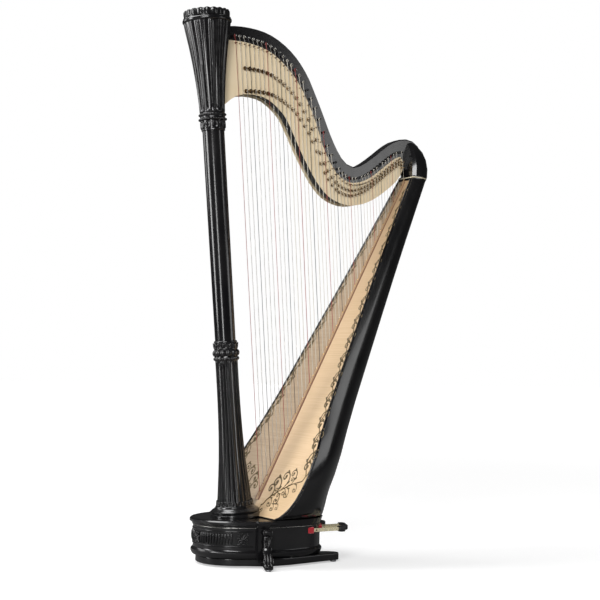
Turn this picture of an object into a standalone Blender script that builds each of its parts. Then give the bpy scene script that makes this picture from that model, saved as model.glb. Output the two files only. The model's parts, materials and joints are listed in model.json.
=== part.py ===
"""A concert pedal harp with 47 strings and seven pedals, as separate pieces.

Metres, +Z up. The origin lies on the floor, under the middle of the harp.
-X is the column's side, +X the player's side, and -Y the side of the discs.
Run with: blender --background --python part.py
"""

import math

import bmesh
import bpy
from mathutils import Vector

# Clearances
gap = 0.0003
running_gap = 0.0004

# Base: heights
glide_height = 0.006
floor_thickness = 0.026
wall_height = 0.0985
top_thickness = 0.0235
wall_thickness = 0.016
# Base: plan
oval_centre_x = -0.1525
oval_front_reach = 0.2625
oval_rear_reach = 0.182
oval_half_width = 0.162
oval_front_fullness = 2.2
oval_rear_fullness = 2.4
oval_steps = 44
plinth_proud = 0.007
rim_proud = 0.012
# The top board's edge: shares of its thickness and of how far it stands proud
rim_profile = ((0.0, 0.0), (0.13, 0.33), (0.30, 0.42), (0.47, 1.0), (0.77, 1.0), (0.94, 0.67), (1.0, 0.33))
rim_end_x = -0.205
rear_proud = 0.009
floor_inset = 0.010
floor_edge = 0.003
floor_step = 0.006
# The bottom board's ear, from the rear glide's centre
ear_outline = ((0.000, -0.016), (0.014, -0.012), (0.020, -0.002), (0.016, 0.014), (-0.002, 0.030))
felt_foot_height = 0.042
glide_radius = 0.011
glide_edge = 0.002
front_glide_x = -0.2645
front_glide_y = 0.2130
rear_glide_x = 0.046
rear_glide_y = 0.122
pilaster_x = -0.257
pilaster_width = 0.040
pilaster_proud = 0.004
pilaster_root = 0.010
console_x = -0.243
console_width = 0.029
console_turn = math.radians(25)
console_edge = 0.003
console_root = 0.010
console_sole = 0.038

# Column
column_lean = math.radians(5.27)
column_foot_x = -0.258
shaft_foot_height = 0.675
shaft_foot_radius = 0.0346
shaft_top_radius = 0.0371
column_bore = 0.0275
foot_flutes = 24
foot_flute_depth = 0.0022
capital_flutes = 20
capital_flute_depth = 0.0040
capital_top_height = 1.829
capital_length = 0.379
capital_waist_share = 0.21
capital_mouth_radius = 0.060
crown_rise = 0.031
crown_shell = 0.012

# Pedals and their rods
pedal_names = ("D", "C", "B", "E", "F", "G", "A")
pedal_slot_y = (-0.1485, -0.112, -0.072, 0.010, 0.055, 0.100, 0.1485)
pedal_tip_x = (0.067, 0.101, 0.119, 0.088, 0.100, 0.092, 0.067)
pedal_pitch = 0.008
pedal_width = 0.006
pedal_height = 0.012
pedal_rise = 0.14
pedal_bar_z = 0.114
pedal_travel = math.radians(7.3)
axle_setback = 0.0685
axle_z = 0.075
axle_radius = 0.004
hub_radius = 0.009
rack_clearance = 0.004
rack_thickness = 0.008
rack_half_length = 0.013
cap_length = 0.024
cap_width = 0.024
cap_height = 0.019
cap_end = 0.004
cap_corner = 0.004
slot_width = 0.012
slot_margin = 0.006
felt_thickness = 0.003
felt_slot_width = 0.0110
rod_radius = 0.002
rod_end_below_top = 0.229
rod_seat = 0.0005

# Soundbox
board_foot_x = -0.297
board_slope = 0.522
spine_foot_x = -0.056
spine_slope = 0.4095
spine_flare = 0.022
spine_flare_height = 0.120
shell_fullness = 2.7
shell_rim = 0.007
shell_wall = 0.009
shell_ledge = 0.008
shell_top_height = 1.361
shell_floor = 0.024
shell_head = 0.035
board_thickness = 0.005
board_inset_foot = 0.004
board_inset_head = 0.006
rabbet_reach = 0.030
# Half widths of the soundboard at heights above the floor
board_widths = (
    (0.1549, 0.158),
    (0.163, 0.187),
    (0.177, 0.206),
    (0.197, 0.2255),
    (0.223, 0.239),
    (0.260, 0.247),
    (0.300, 0.249),
    (0.370, 0.237),
    (0.450, 0.210),
    (0.540, 0.185),
    (0.640, 0.164),
    (0.760, 0.141),
    (0.880, 0.118),
    (1.000, 0.096),
    (1.120, 0.075),
    (1.240, 0.056),
    (1.3613, 0.038),
)
rib_thickness = 0.003
rib_foot_height = 0.208
rib_foot_half_width = 0.013
rib_top_half_width = 0.008
strip_thickness = 0.0015
strip_half_width = 0.003
# Sound holes in the back: height above the floor, half height, half width
sound_holes = (
    (0.300, 0.058, 0.050),
    (0.490, 0.055, 0.044),
    (0.670, 0.050, 0.036),
    (0.840, 0.044, 0.028),
    (0.990, 0.036, 0.020),
)
hole_reach = 0.060
band_thickness = 0.0117
band_proud = 0.001

# Neck, seen from the discs' side: x, z
neck_left_y = 0.0113
neck_thickness = 0.0464
neck_edge_round = 0.005
neck_top = (
    (-0.370, 1.812),
    (-0.3275, 1.824),
    (-0.2625, 1.829),
    (-0.1925, 1.823),
    (-0.1300, 1.801),
    (-0.0655, 1.757),
    (-0.0155, 1.699),
    (0.0185, 1.639),
    (0.0595, 1.558),
    (0.0950, 1.484),
    (0.1330, 1.423),
    (0.1640, 1.395),
    (0.1945, 1.388),
    (0.2315, 1.403),
    (0.2825, 1.438),
    (0.3375, 1.481),
    (0.3800, 1.505),
    (0.4220, 1.515),
    (0.4620, 1.508),
    (0.4930, 1.480),
    (0.5060, 1.440),
)
plate_top = (
    (-0.3700, 1.769),
    (-0.3275, 1.773),
    (-0.2475, 1.772),
    (-0.1645, 1.752),
    (-0.0795, 1.691),
    (-0.0225, 1.616),
    (0.0225, 1.530),
    (0.0555, 1.447),
    (0.0885, 1.391),
    (0.1175, 1.355),
    (0.1575, 1.332),
    (0.1935, 1.329),
    (0.2375, 1.342),
    (0.2805, 1.367),
    (0.3365, 1.410),
    (0.3735, 1.437),
    (0.3960, 1.446),
    (0.4110, 1.424),
)
plate_foot = (
    (0.4075, 1.398),
    (0.3855, 1.359),
    (0.3385, 1.318),
    (0.2825, 1.279),
    (0.2315, 1.256),
    (0.1885, 1.247),
    (0.1595, 1.246),
    (0.1205, 1.254),
    (0.0775, 1.274),
    (0.0305, 1.320),
    (-0.0055, 1.372),
    (-0.0345, 1.417),
    (-0.0915, 1.517),
    (-0.1185, 1.549),
    (-0.1605, 1.580),
    (-0.2050, 1.595),
    (-0.2685, 1.594),
    (-0.3145, 1.576),
    (-0.3600, 1.535),
)
knee_bevel = 0.012
neck_throat = (0.4300, 1.3950)
slab_stations = 40
plate_thickness = 0.0025
plate_overhang = 0.007
# Knee: height, front x, rear x, least y, greatest y
knee_sections = (
    (1.3733, 0.4199, 0.5064, -0.044, 0.046),
    (1.405, 0.4220, 0.5100, -0.042, 0.050),
    (1.440, 0.4260, 0.5085, -0.032, 0.0555),
    (1.470, 0.4280, 0.5000, -0.016, 0.0572),
    (1.495, 0.4290, 0.4800, 0.0020, 0.0570),
    (1.508, 0.4300, 0.4600, 0.0160, 0.0530),
)

# Strings: at string_level they stand in a row, low C first
string_count = 47
string_level = 1.100
first_string_x = -0.2555
first_spacing = 0.01723
spacing_loss = 0.000105
string_lean = 0.0760
bass_lean = 0.0110
bass_lean_strings = 10
wire_strings = 12
wire_radius = 0.0009
gut_radius = 0.0011
treble_radius = 0.0005
pin_row = 0.016
pin_radius = 0.0032
pin_left = 0.005
pin_right = 0.017
bridge_row = 0.008
bridge_radius = 0.0016
bridge_proud = 0.0125
# A semitone and two semitones shorten the string by these shares
natural_share = 1 - 2 ** (-1 / 12)
sharp_share = 1 - 2 ** (-2 / 12)
least_disc_step = 0.0105
first_disc_string = 2
bass_disc_radius = 0.0066
treble_disc_radius = 0.0042
disc_thickness = 0.0025
disc_standoff = 0.0020
spindle_radius = 0.0022
prong_radius = 0.0010
prong_offset = 0.0042
prong_length = 0.0065
# One octave of discs turns: E, F, G, A, B, C, D from the lowest string that has discs
moving_octave = ("E", "F", "G", "A", "B", "C", "D")

# Heights that follow
floor_top = glide_height + floor_thickness
wall_foot = floor_top + gap
wall_top = wall_foot + wall_height
top_foot = wall_top + gap
base_height = top_foot + top_thickness
seat_height = base_height + gap
plate_left_y = neck_left_y - gap - plate_thickness
neck_right_y = neck_left_y + neck_thickness
axle_x = oval_centre_x - oval_front_reach + axle_setback
shaft_top_height = capital_top_height - capital_length
capital_foot_height = shaft_top_height + gap
capital_height = capital_top_height - capital_foot_height
capital_waist_height = capital_foot_height + capital_height * capital_waist_share
crown_height = capital_top_height + crown_rise
rod_top_height = capital_top_height - rod_end_below_top


def clear_scene():
    for obj in list(bpy.data.objects):
        bpy.data.objects.remove(obj)


def material(name, colour, roughness, metallic=0.0):
    made = bpy.data.materials.new(name)
    made.use_nodes = True
    shader = made.node_tree.nodes["Principled BSDF"]
    shader.inputs["Base Color"].default_value = (*colour, 1.0)
    shader.inputs["Roughness"].default_value = roughness
    shader.inputs["Metallic"].default_value = metallic
    made.diffuse_color = (*colour, 1.0)
    return made


def add_object(name, mesh_data, finish=None, location=(0, 0, 0)):
    obj = bpy.data.objects.new(name, mesh_data)
    obj.location = location
    bpy.context.scene.collection.objects.link(obj)
    if finish:
        obj.data.materials.clear()
        obj.data.materials.append(finish)
    return obj


def from_bmesh(name, bm, finish=None, location=(0, 0, 0), smooth=True):
    bmesh.ops.recalc_face_normals(bm, faces=bm.faces)
    mesh = bpy.data.meshes.new(name)
    bm.to_mesh(mesh)
    bm.free()
    if smooth:
        mesh.shade_smooth()
        mesh.set_sharp_from_angle(angle=math.radians(35))
    return add_object(name, mesh, finish, location)


def add_loft(bm, rings):
    """Skins closed rings of equal count and caps both ends."""
    loops = [[bm.verts.new(point) for point in ring] for ring in rings]
    count = len(loops[0])
    for low, high in zip(loops, loops[1:]):
        for i in range(count):
            j = (i + 1) % count
            bm.faces.new((low[i], low[j], high[j], high[i]))
    bm.faces.new(loops[0][::-1])
    bm.faces.new(loops[-1])
    return bm


def loft(name, rings, finish=None, location=(0, 0, 0), smooth=True):
    return from_bmesh(name, add_loft(bmesh.new(), rings), finish, location, smooth)


def loft_tube(name, outer, inner, finish=None):
    """Skins outer and inner rings and joins them at both ends, so the bore runs right through.

    An outer ring holds as many points as an inner one, or a whole multiple.
    """
    bm = bmesh.new()
    walls = []
    for rings in (outer, inner):
        loops = [[bm.verts.new(point) for point in ring] for ring in rings]
        for low, high in zip(loops, loops[1:]):
            for i in range(len(low)):
                j = (i + 1) % len(low)
                bm.faces.new((low[i], low[j], high[j], high[i]))
        walls.append(loops)
    for end in (0, -1):
        wide, narrow = walls[0][end], walls[1][end]
        share = len(wide) // len(narrow)
        for i in range(len(narrow)):
            span = [wide[(i * share + step) % len(wide)] for step in range(share + 1)]
            bm.faces.new(span + [narrow[(i + 1) % len(narrow)], narrow[i]])
    return from_bmesh(name, bm, finish)


def boolean(target, other, operation, solver="EXACT"):
    """Adds a Boolean modifier and hides the other object, which is a helper."""
    modifier = target.modifiers.new(other.name, "BOOLEAN")
    modifier.operation = operation
    modifier.solver = solver
    modifier.object = other
    other.hide_render = True
    other.display_type = "WIRE"


def cut(target, other):
    boolean(target, other, "DIFFERENCE")


def unite(target, other):
    boolean(target, other, "UNION")


def spline(points, steps):
    """A smooth curve through the points, each span in equal steps."""
    made = []
    last = len(points) - 1
    for i in range(last):
        before = Vector(points[max(i - 1, 0)])
        start = Vector(points[i])
        end = Vector(points[i + 1])
        after = Vector(points[min(i + 2, last)])
        for step in range(steps):
            t = step / steps
            made.append(
                0.5 * (
                    2 * start
                    + (end - before) * t
                    + (2 * before - 5 * start + 4 * end - after) * t ** 2
                    + (3 * start - before - 3 * end + after) * t ** 3
                )
            )
    made.append(Vector(points[last]))
    return made


def offset_curve(points, distance):
    """Moves an open curve sideways, to its left as it runs, by the distance."""
    made = []
    for i, point in enumerate(points):
        along = points[min(i + 1, len(points) - 1)] - points[max(i - 1, 0)]
        along.normalize()
        made.append(point + Vector((-along.y, along.x)) * distance)
    return made


def grow_outline(points, distance):
    """Moves a closed anticlockwise outline outwards by the distance."""
    made = []
    count = len(points)
    for i, point in enumerate(points):
        before = (point - points[i - 1]).normalized()
        after = (points[(i + 1) % count] - point).normalized()
        side = Vector((before.y + after.y, -before.x - after.x)).normalized()
        reach = side.dot(Vector((before.y, -before.x)))
        made.append(point + side * distance / reach)
    return made


def circle(centre, radius, sides, axis="Y", turn=0.0):
    """Points round a centre, in the plane across the axis."""
    made = []
    for i in range(sides):
        angle = turn + 2 * math.pi * i / sides
        a = radius * math.cos(angle)
        b = radius * math.sin(angle)
        if axis == "Y":
            made.append(Vector((centre[0] + a, centre[1], centre[2] + b)))
        elif axis == "Z":
            made.append(Vector((centre[0] + a, centre[1] + b, centre[2])))
        else:
            made.append(Vector((centre[0], centre[1] + a, centre[2] + b)))
    return made


def rectangle(low_x, high_x, half_y, z, middle_y=0.0):
    """Four corners at one height, anticlockwise from above."""
    low_y, high_y = middle_y - half_y, middle_y + half_y
    corners = ((low_x, low_y), (high_x, low_y), (high_x, high_y), (low_x, high_y))
    return [Vector((*corner, z)) for corner in corners]


def upright(x, y, width, low, high):
    """Four corners across the X axis."""
    half = width / 2
    corners = ((y - half, low), (y + half, low), (y + half, high), (y - half, high))
    return [Vector((x, *corner)) for corner in corners]


def at_height(outline, z):
    return [Vector((point.x, point.y, z)) for point in outline]


def between(table, value):
    """Reads a table of pairs at a value, in a straight line between its rows."""
    for (low, first), (high, second) in zip(table, table[1:]):
        if value <= high:
            share = max(0.0, (value - low) / (high - low))
            return first + (second - first) * share
    return table[-1][1]


# Base

def wall_plan(grow=0.0):
    """The base's outline from above: an oval, fuller at the front, anticlockwise from the right side."""
    outline = []
    for step in range(oval_steps):
        angle = math.pi / 2 + 2 * math.pi * step / oval_steps
        along, across = math.cos(angle), math.sin(angle)
        front = along < 0
        reach = oval_front_reach if front else oval_rear_reach
        power = 2 / (oval_front_fullness if front else oval_rear_fullness)
        x = oval_centre_x + math.copysign(reach * abs(along) ** power, along)
        outline.append(Vector((x, math.copysign(oval_half_width * abs(across) ** power, across))))
    return grow_outline(outline, grow)


def rear_plan(grow):
    """The round back of the wall alone, without its ends."""
    return wall_plan(grow)[oval_steps // 2 + 1:]


def rim_plan(proud, rise):
    """The top board's outline: moulded round the front, and plain under the soundbox's foot."""
    grown = wall_plan(proud)
    plain = wall_plan(rear_proud * rise / top_thickness)
    return [grown[i] if point.x < rim_end_x else point for i, point in enumerate(plain)]


def wall_levels(grow=0.0):
    """Heights of the wall's outside, and how far it stands proud there."""
    return (
        (wall_foot, grow),
        (wall_foot + 0.005, plinth_proud * 0.6 + grow),
        (wall_foot + 0.012, plinth_proud + grow),
        (wall_foot + 0.018, plinth_proud + grow),
        (wall_foot + 0.023, plinth_proud * 0.3 + grow),
        (wall_foot + 0.027, grow),
        (wall_top, grow),
    )


def floor_plan(grow=0.0):
    """The bottom board: set back at the front, with an ear for a glide at each rear corner."""
    front_end = pilaster_x - pilaster_width / 2
    half = [point for point in wall_plan(-floor_inset) if point.y < gap and point.x < front_end]
    half += [
        Vector((pilaster_x + pilaster_width / 2, -oval_half_width - floor_step)),
        Vector((oval_centre_x, -oval_half_width - floor_step)),
    ]
    half += [Vector((rear_glide_x + x, y - rear_glide_y)) for x, y in ear_outline]
    ear_end = half[-1].y + floor_step
    half += [point for point in wall_plan(floor_edge) if ear_end < point.y < gap and point.x > 0]
    other = [Vector((point.x, -point.y)) for point in half if point.y < -gap]
    return grow_outline(half + other[::-1], grow)


def pilaster_box(side, near, far, half):
    """A pilaster from above, on the left (-1) or the right (1)."""
    low, high = sorted((side * near, side * far))
    return [Vector((pilaster_x + x, y)) for x, y in ((-half, low), (half, low), (half, high), (-half, high))]


console_shape = (
    # out from the pilaster's face, height as a share of the wall's top
    (0.014, 0.98), (0.020, 0.93), (0.018, 0.86), (0.011, 0.80), (0.016, 0.70), (0.013, 0.58), (0.018, 0.46),
    (0.034, 0.34), (0.052, 0.25), (0.066, 0.18), (0.071, 0.12), (0.067, 0.075), (0.056, 0.055),
)


def make_base(black, felt_red, steel):
    floor_levels = (
        (-floor_edge, glide_height + gap),
        (0.0, glide_height + floor_edge),
        (0.0, floor_top - floor_edge),
        (-floor_edge, floor_top),
    )
    loft("base_floor", [at_height(floor_plan(grow), z) for grow, z in floor_levels], black)
    outer = [at_height(wall_plan(proud), z) for z, proud in wall_levels()]
    inside = wall_plan(-wall_thickness)
    inner = [at_height(inside, wall_foot), at_height(inside, wall_top)]
    shell = loft_tube("base_shell", outer, inner, black)
    face_y = oval_half_width + pilaster_proud
    top_levels = [(share * top_thickness, proud * rim_proud) for share, proud in rim_profile]
    rings = [at_height(rim_plan(proud, rise), top_foot + rise) for rise, proud in top_levels]
    top = loft("base_top", rings, black)
    inside_y = oval_half_width - wall_thickness - pilaster_root
    for side, name in ((-1, "left"), (1, "right")):
        rings = []
        for rise, proud in top_levels:
            block = pilaster_box(side, inside_y, face_y + proud * 0.4, pilaster_width / 2 + proud * 0.3)
            rings.append(at_height(block, top_foot + rise))
        unite(top, loft(f"pilaster_block_{name}_form", rings))
        post = pilaster_box(side, inside_y, face_y, pilaster_width / 2)
        unite(shell, loft(f"pilaster_{name}_form", [at_height(post, wall_foot), at_height(post, wall_top)]))
    rod_hole = [
        circle((column_x(base_height), 0, z), column_bore + gap, 24, "Z")
        for z in (top_foot - top_thickness, base_height + top_thickness)
    ]
    cut(top, loft("rod_hole_cutter", rod_hole))

    slots = bmesh.new()
    felt_slots = bmesh.new()
    for index in range(len(pedal_names)):
        low, high = slot_heights(pedal_slot_y[index])
        add_loft(slots, slot_rings(index, slot_width, low, high))
        add_loft(felt_slots, slot_rings(index, felt_slot_width, low + felt_thickness, high - felt_thickness))
    cut(shell, from_bmesh("pedal_slot_cutter", slots))

    felt_outside = -wall_thickness - gap
    felt_plan = rear_plan(felt_outside) + rear_plan(felt_outside - felt_thickness)[::-1]
    felt_rings = [at_height(felt_plan, felt_foot_height), at_height(felt_plan, wall_top - gap)]
    felt = loft("pedal_felt", felt_rings, felt_red)
    cut(felt, from_bmesh("felt_slot_cutter", felt_slots))

    floor_space = floor_plan(gap)
    floor_cutter = loft("floor_cutter", [at_height(floor_space, 0), at_height(floor_space, floor_top + gap)])
    face_cutter = loft(
        "pilaster_face_cutter",
        [rectangle(console_x - 0.1, console_x + 0.1, face_y + gap, z) for z in (0, base_height)],
    )
    for side, name in ((-1, "left"), (1, "right")):
        low = glide_height + gap
        outline = [Vector((out, wall_top * share)) for out, share in console_shape]
        back = ((console_sole, low), (-console_root, low), (-console_root, wall_top))
        outline += [Vector(corner) for corner in back]
        inside = grow_outline(outline[::-1], -console_edge)[::-1]
        out_axis = Vector((-math.sin(console_turn), side * math.cos(console_turn)))
        wide_axis = Vector((out_axis.y, -out_axis.x))
        start = Vector((console_x, side * face_y))
        half = console_width / 2
        rings = []
        near_edge = half - 2 * console_edge
        for reach, shape in ((-half, inside), (-near_edge, outline), (near_edge, outline), (half, inside)):
            ring = []
            for out, z in shape:
                place = start + out_axis * out + wide_axis * reach
                ring.append(Vector((place.x, place.y, max(z, low))))
            rings.append(ring)
        foot = loft("corner_foot_" + name, rings, black)
        cut(foot, floor_cutter)
        cut(foot, face_cutter)
        for place, x, y in (("front", front_glide_x, front_glide_y), ("rear", rear_glide_x, rear_glide_y)):
            centre = (x, side * y)
            rings = [
                circle((*centre, 0), glide_radius - glide_edge, 16, "Z"),
                circle((*centre, glide_edge), glide_radius, 16, "Z"),
                circle((*centre, glide_height), glide_radius, 16, "Z"),
            ]
            loft(f"glide_{place}_{name}", rings, steel)


# Column

def column_x(z):
    return column_foot_x - math.tan(column_lean) * z


def column_ring(z, radius, sides, flutes=0, depth=0.0, turn=0.0):
    """A ring across the leaning column. Each flute takes three sides: two hold its floor."""
    across = Vector((math.cos(column_lean), 0, math.sin(column_lean)))
    centre = Vector((column_x(z), 0, z))
    made = []
    for i in range(sides):
        angle = turn + 2 * math.pi * i / sides
        here = radius
        if flutes and i % 3:
            here = radius - depth
        made.append(centre + (across * math.cos(angle) + Vector((0, math.sin(angle), 0))) * here)
    return made


def level_ring(ring, z):
    """Slides a ring's points along the column until they stand at one height."""
    lean = math.tan(column_lean)
    return [Vector((point.x - lean * (z - point.z), point.y, z)) for point in ring]


foot_profile = (
    # height above the base, radius, share of the flutes' depth
    (0.012, 0.084, 0),
    (0.017, 0.080, 0),
    (0.022, 0.082, 0),
    (0.028, 0.072, 0),
    (0.036, 0.061, 0),
    (0.044, 0.0590, 1),
    (0.100, 0.0535, 1),
    (0.160, 0.0478, 1),
    (0.230, 0.0428, 1),
    (0.330, 0.0392, 1),
    (0.430, 0.0378, 1),
    (0.490, 0.0382, 0.6),
)

collar_profile = (
    # height above the shaft's foot, radius
    (0.002, 0.0405), (0.010, 0.0412), (0.014, 0.0390), (0.020, 0.0430), (0.028, 0.0442), (0.036, 0.0425),
    (0.040, 0.0392), (0.050, 0.0415), (0.056, 0.0400), (0.064, 0.0385), (0.070, 0.0372),
)

crown_profile = (
    # share of the crown's height, radius
    (0.0, 0.0760), (0.26, 0.0765), (0.46, 0.0740), (0.69, 0.0620), (0.885, 0.0400), (1.0, 0.0120),
)

capital_profile = (
    # share of the capital's height, radius, share of the flutes' depth
    (0.0, 0.0385, 0),
    (0.0203, 0.0405, 0),
    (0.0335, 0.0388, 0),
    (0.0467, 0.0400, 0.5),
    (0.0943, 0.0428, 0.5),
    (0.118, 0.0468, 0),
    (0.1339, 0.0468, 0),
    (0.1471, 0.0440, 0),
    (0.1656, 0.0474, 0),
    (0.1841, 0.0440, 0),
    (0.2105, 0.0442, 1),
    (0.3293, 0.0472, 1),
    (0.4745, 0.0524, 1),
    (0.633, 0.0598, 1),
    (0.7782, 0.0684, 1),
    (0.897, 0.0764, 1),
    (0.9393, 0.0800, 0),
    (0.9525, 0.0832, 0),
    (0.9762, 0.0836, 0),
    (1.0, 0.0800, 0),
)


def capital_rings(grow=0.0):
    sides = capital_flutes * 3
    rings = []
    for rise, radius, share in capital_profile:
        flutes = capital_flutes if share and not grow else 0
        z = capital_foot_height + capital_height * rise
        rings.append(column_ring(z, radius + grow, sides, flutes, capital_flute_depth * share))
    return rings


def make_column(black):
    foot_sides = foot_flutes * 3
    rings = []
    for rise, radius, share in foot_profile:
        flutes = foot_flutes if share else 0
        rings.append(column_ring(seat_height + rise, radius, foot_sides, flutes, foot_flute_depth * share))
    rings.append(column_ring(shaft_foot_height, 0.0385, foot_sides))
    rings.insert(0, level_ring(rings[0], seat_height))
    bore_foot = level_ring(column_ring(seat_height, column_bore, 24), seat_height)
    bore = [bore_foot, column_ring(shaft_foot_height, column_bore, 24)]
    foot = loft_tube("column_foot", rings, bore, black)
    board_side = []
    for z in (0.0, shaft_foot_height):
        x = board_x(z) - gap
        board_side.append(rectangle(x, x + oval_half_width, oval_half_width, z))
    cut(foot, loft("board_side_cutter", board_side))

    shaft = [
        column_ring(shaft_foot_height + gap, shaft_foot_radius, 48),
        column_ring(shaft_top_height, shaft_top_radius, 48),
    ]
    shaft_bore = [
        column_ring(shaft_foot_height + gap, column_bore, 24),
        column_ring(shaft_top_height, column_bore, 24),
    ]
    loft_tube("column_shaft", shaft, shaft_bore, black)

    collar_sides = 36
    outer = [column_ring(shaft_foot_height + rise, radius, collar_sides) for rise, radius in collar_profile]
    lowest, highest = collar_profile[0][0], collar_profile[-1][0]
    inner = [
        column_ring(shaft_foot_height + rise, shaft_radius(shaft_foot_height + rise) + gap, collar_sides)
        for rise in (lowest, highest)
    ]
    loft_tube("column_collar", outer, inner, black)

    capital_bore = [
        column_ring(capital_foot_height, column_bore, capital_flutes),
        column_ring(capital_waist_height, column_bore, capital_flutes),
        column_ring(capital_top_height, capital_mouth_radius, capital_flutes),
    ]
    loft_tube("capital", capital_rings(), capital_bore, black)

    crown_foot = capital_top_height + gap
    dome_rise = crown_height - crown_foot
    crown_rings = [
        column_ring(crown_foot + dome_rise * share, radius, 40)
        for share, radius in crown_profile
    ]
    crown = loft("crown", crown_rings, black)
    crown_inside = (
        (crown_foot - crown_shell, capital_mouth_radius),
        (crown_foot + dome_rise / 4, capital_mouth_radius),
        (crown_height - crown_shell, capital_mouth_radius / 2),
    )
    cut(crown, loft("crown_hollow_cutter", [column_ring(z, radius, 40) for z, radius in crown_inside]))


def shaft_radius(z):
    share = (z - shaft_foot_height) / (shaft_top_height - shaft_foot_height)
    return shaft_foot_radius + (shaft_top_radius - shaft_foot_radius) * share


# Pedals

def slot_wall_x(y):
    """Where the rear wall's outside stands at a pedal's slot."""
    share = 1 - (abs(y) / oval_half_width) ** oval_rear_fullness
    return oval_centre_x + oval_rear_reach * share ** (1 / oval_rear_fullness)


def pedal_route(index):
    """The pedal from above: straight from the axle, aslant to its slot and straight on to its tip."""
    start_y = pedal_pitch * (index - (len(pedal_names) - 1) / 2)
    slot_y = pedal_slot_y[index]
    first_bend = column_x(axle_z) + 0.014
    second_bend = slot_wall_x(slot_y) + 0.004
    return [(axle_x, start_y), (first_bend, start_y), (second_bend, slot_y), (pedal_tip_x[index], slot_y)]


def slot_rings(index, width, low, high):
    """A cutter along the pedal's route through the wall."""
    route = pedal_route(index)
    wall_x = slot_wall_x(pedal_slot_y[index])
    rings = []
    for x in (wall_x - 0.075, route[2][0], wall_x + 0.030):
        y = between(route, x)
        rings.append(upright(x, y, width, low, high))
    return rings


def pedal_z(x):
    return min(axle_z + (x - axle_x) * pedal_rise, pedal_bar_z)


def slot_heights(y):
    """The slot's foot and top, from the pedal's travel at the wall."""
    drop = (slot_wall_x(y) - axle_x) * math.sin(pedal_travel)
    low = pedal_bar_z - pedal_height / 2 - drop - slot_margin
    return low, pedal_bar_z + pedal_height / 2 + slot_margin


def make_pedals(brass, rubber, steel, iron):
    half_span = pedal_pitch * (len(pedal_names) - 1) / 2
    ear_inner = half_span + pedal_width / 2 + rack_clearance
    ear_outer = ear_inner + rack_thickness
    axle_end = ear_outer + rack_clearance
    loft("pedal_axle", [circle((axle_x, y, axle_z), axle_radius, 16) for y in (-axle_end, axle_end)], steel)
    ear_top = axle_z + hub_radius
    sole = wall_foot + rack_thickness
    rack_outline = [
        (-ear_outer, wall_foot), (ear_outer, wall_foot), (ear_outer, ear_top), (ear_inner, ear_top),
        (ear_inner, sole), (-ear_inner, sole), (-ear_inner, ear_top), (-ear_outer, ear_top),
    ]
    rack_rings = [
        [Vector((axle_x + reach, y, z)) for y, z in rack_outline]
        for reach in (-rack_half_length, rack_half_length)
    ]
    rack = loft("pedal_rack", rack_rings, iron)
    bore = axle_radius + running_gap
    bore_ends = (-oval_half_width, oval_half_width)
    bore_cutter = loft("axle_bore_cutter", [circle((axle_x, y, axle_z), bore, 16) for y in bore_ends])
    cut(rack, bore_cutter)

    lug_x = column_x(axle_z + (column_x(axle_z) - axle_x) * pedal_rise)
    for i, (name, slot_y) in enumerate(zip(pedal_names, pedal_slot_y)):
        route = pedal_route(i)
        front_y = route[0][1]
        tip_x = route[-1][0]
        level_x = axle_x + (pedal_bar_z - axle_z) / pedal_rise
        rings = []
        for x in sorted({level_x, *(x for x, _ in route)}):
            y = between(route, x)
            z = pedal_z(x)
            rings.append(upright(x, y, pedal_width, z - pedal_height / 2, z + pedal_height / 2))
        pivot = Vector((axle_x, 0, axle_z))
        rings = [[point - pivot for point in ring] for ring in rings]
        pedal = loft("pedal_" + name, rings, brass, pivot, smooth=False)
        hub = loft(
            f"pedal_{name}_hub_cutter",
            [circle((0, front_y + side * pedal_width / 2, 0), hub_radius, 16) for side in (-1, 1)],
            None,
            pivot,
        )
        unite(pedal, hub)
        cut(pedal, bore_cutter)

        cap_x = tip_x - cap_length / 2 + cap_end
        cap = loft("pedal_cap_" + name, cap_rings(), rubber, (cap_x, slot_y, pedal_bar_z))
        pocket = loft(
            f"pedal_{name}_pocket_cutter",
            [
                upright(x, 0, pedal_width + 2 * gap, -pedal_height / 2 - gap, pedal_height / 2 + gap)
                for x in (-cap_length, tip_x - cap_x + gap)
            ],
            None,
            (cap_x, slot_y, pedal_bar_z),
        )
        cut(cap, pocket)

        rod_foot = pedal_z(lug_x) + pedal_height / 2 + rod_seat
        rod_rings = []
        for z in (rod_foot, rod_top_height):
            ring = column_ring(z, rod_radius, 6)
            rod_rings.append([point + Vector((0, front_y, 0)) for point in ring])
        loft("pedal_rod_" + name, rod_rings, steel)


def cap_rings():
    """A block with rounded edges, as rounded rectangles one over another."""
    rings = []
    corner = cap_corner
    for share, inset in ((-0.5, 1.2), (-0.38, 0.4), (-0.2, 0.0), (0.2, 0.0), (0.38, 0.4), (0.5, 1.2)):
        half_x = cap_length / 2 - inset * corner
        half_y = cap_width / 2 - inset * corner
        z = cap_height * share
        ring = []
        for cx, cy, start in ((1, 1, 0), (-1, 1, 90), (-1, -1, 180), (1, -1, 270)):
            for turn in (0, 45, 90):
                angle = math.radians(start + turn)
                ring.append(Vector((
                    cx * (half_x - corner) + corner * math.cos(angle),
                    cy * (half_y - corner) + corner * math.sin(angle),
                    z,
                )))
        rings.append(ring)
    return rings


# Soundbox

def board_x(z):
    return board_foot_x + board_slope * z


def near_foot(z):
    """1 at the shell's foot, falling to 0 where its foot has run out into the long body."""
    return min(1.0, max(0.0, 1 - (z - seat_height) / spine_flare_height))


def spine_x(z):
    """The back of the shell, which stands steeper near its foot."""
    return spine_foot_x + spine_slope * z + spine_flare * near_foot(z) ** 3


def board_half_width(z):
    return between(board_widths, z)


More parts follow.
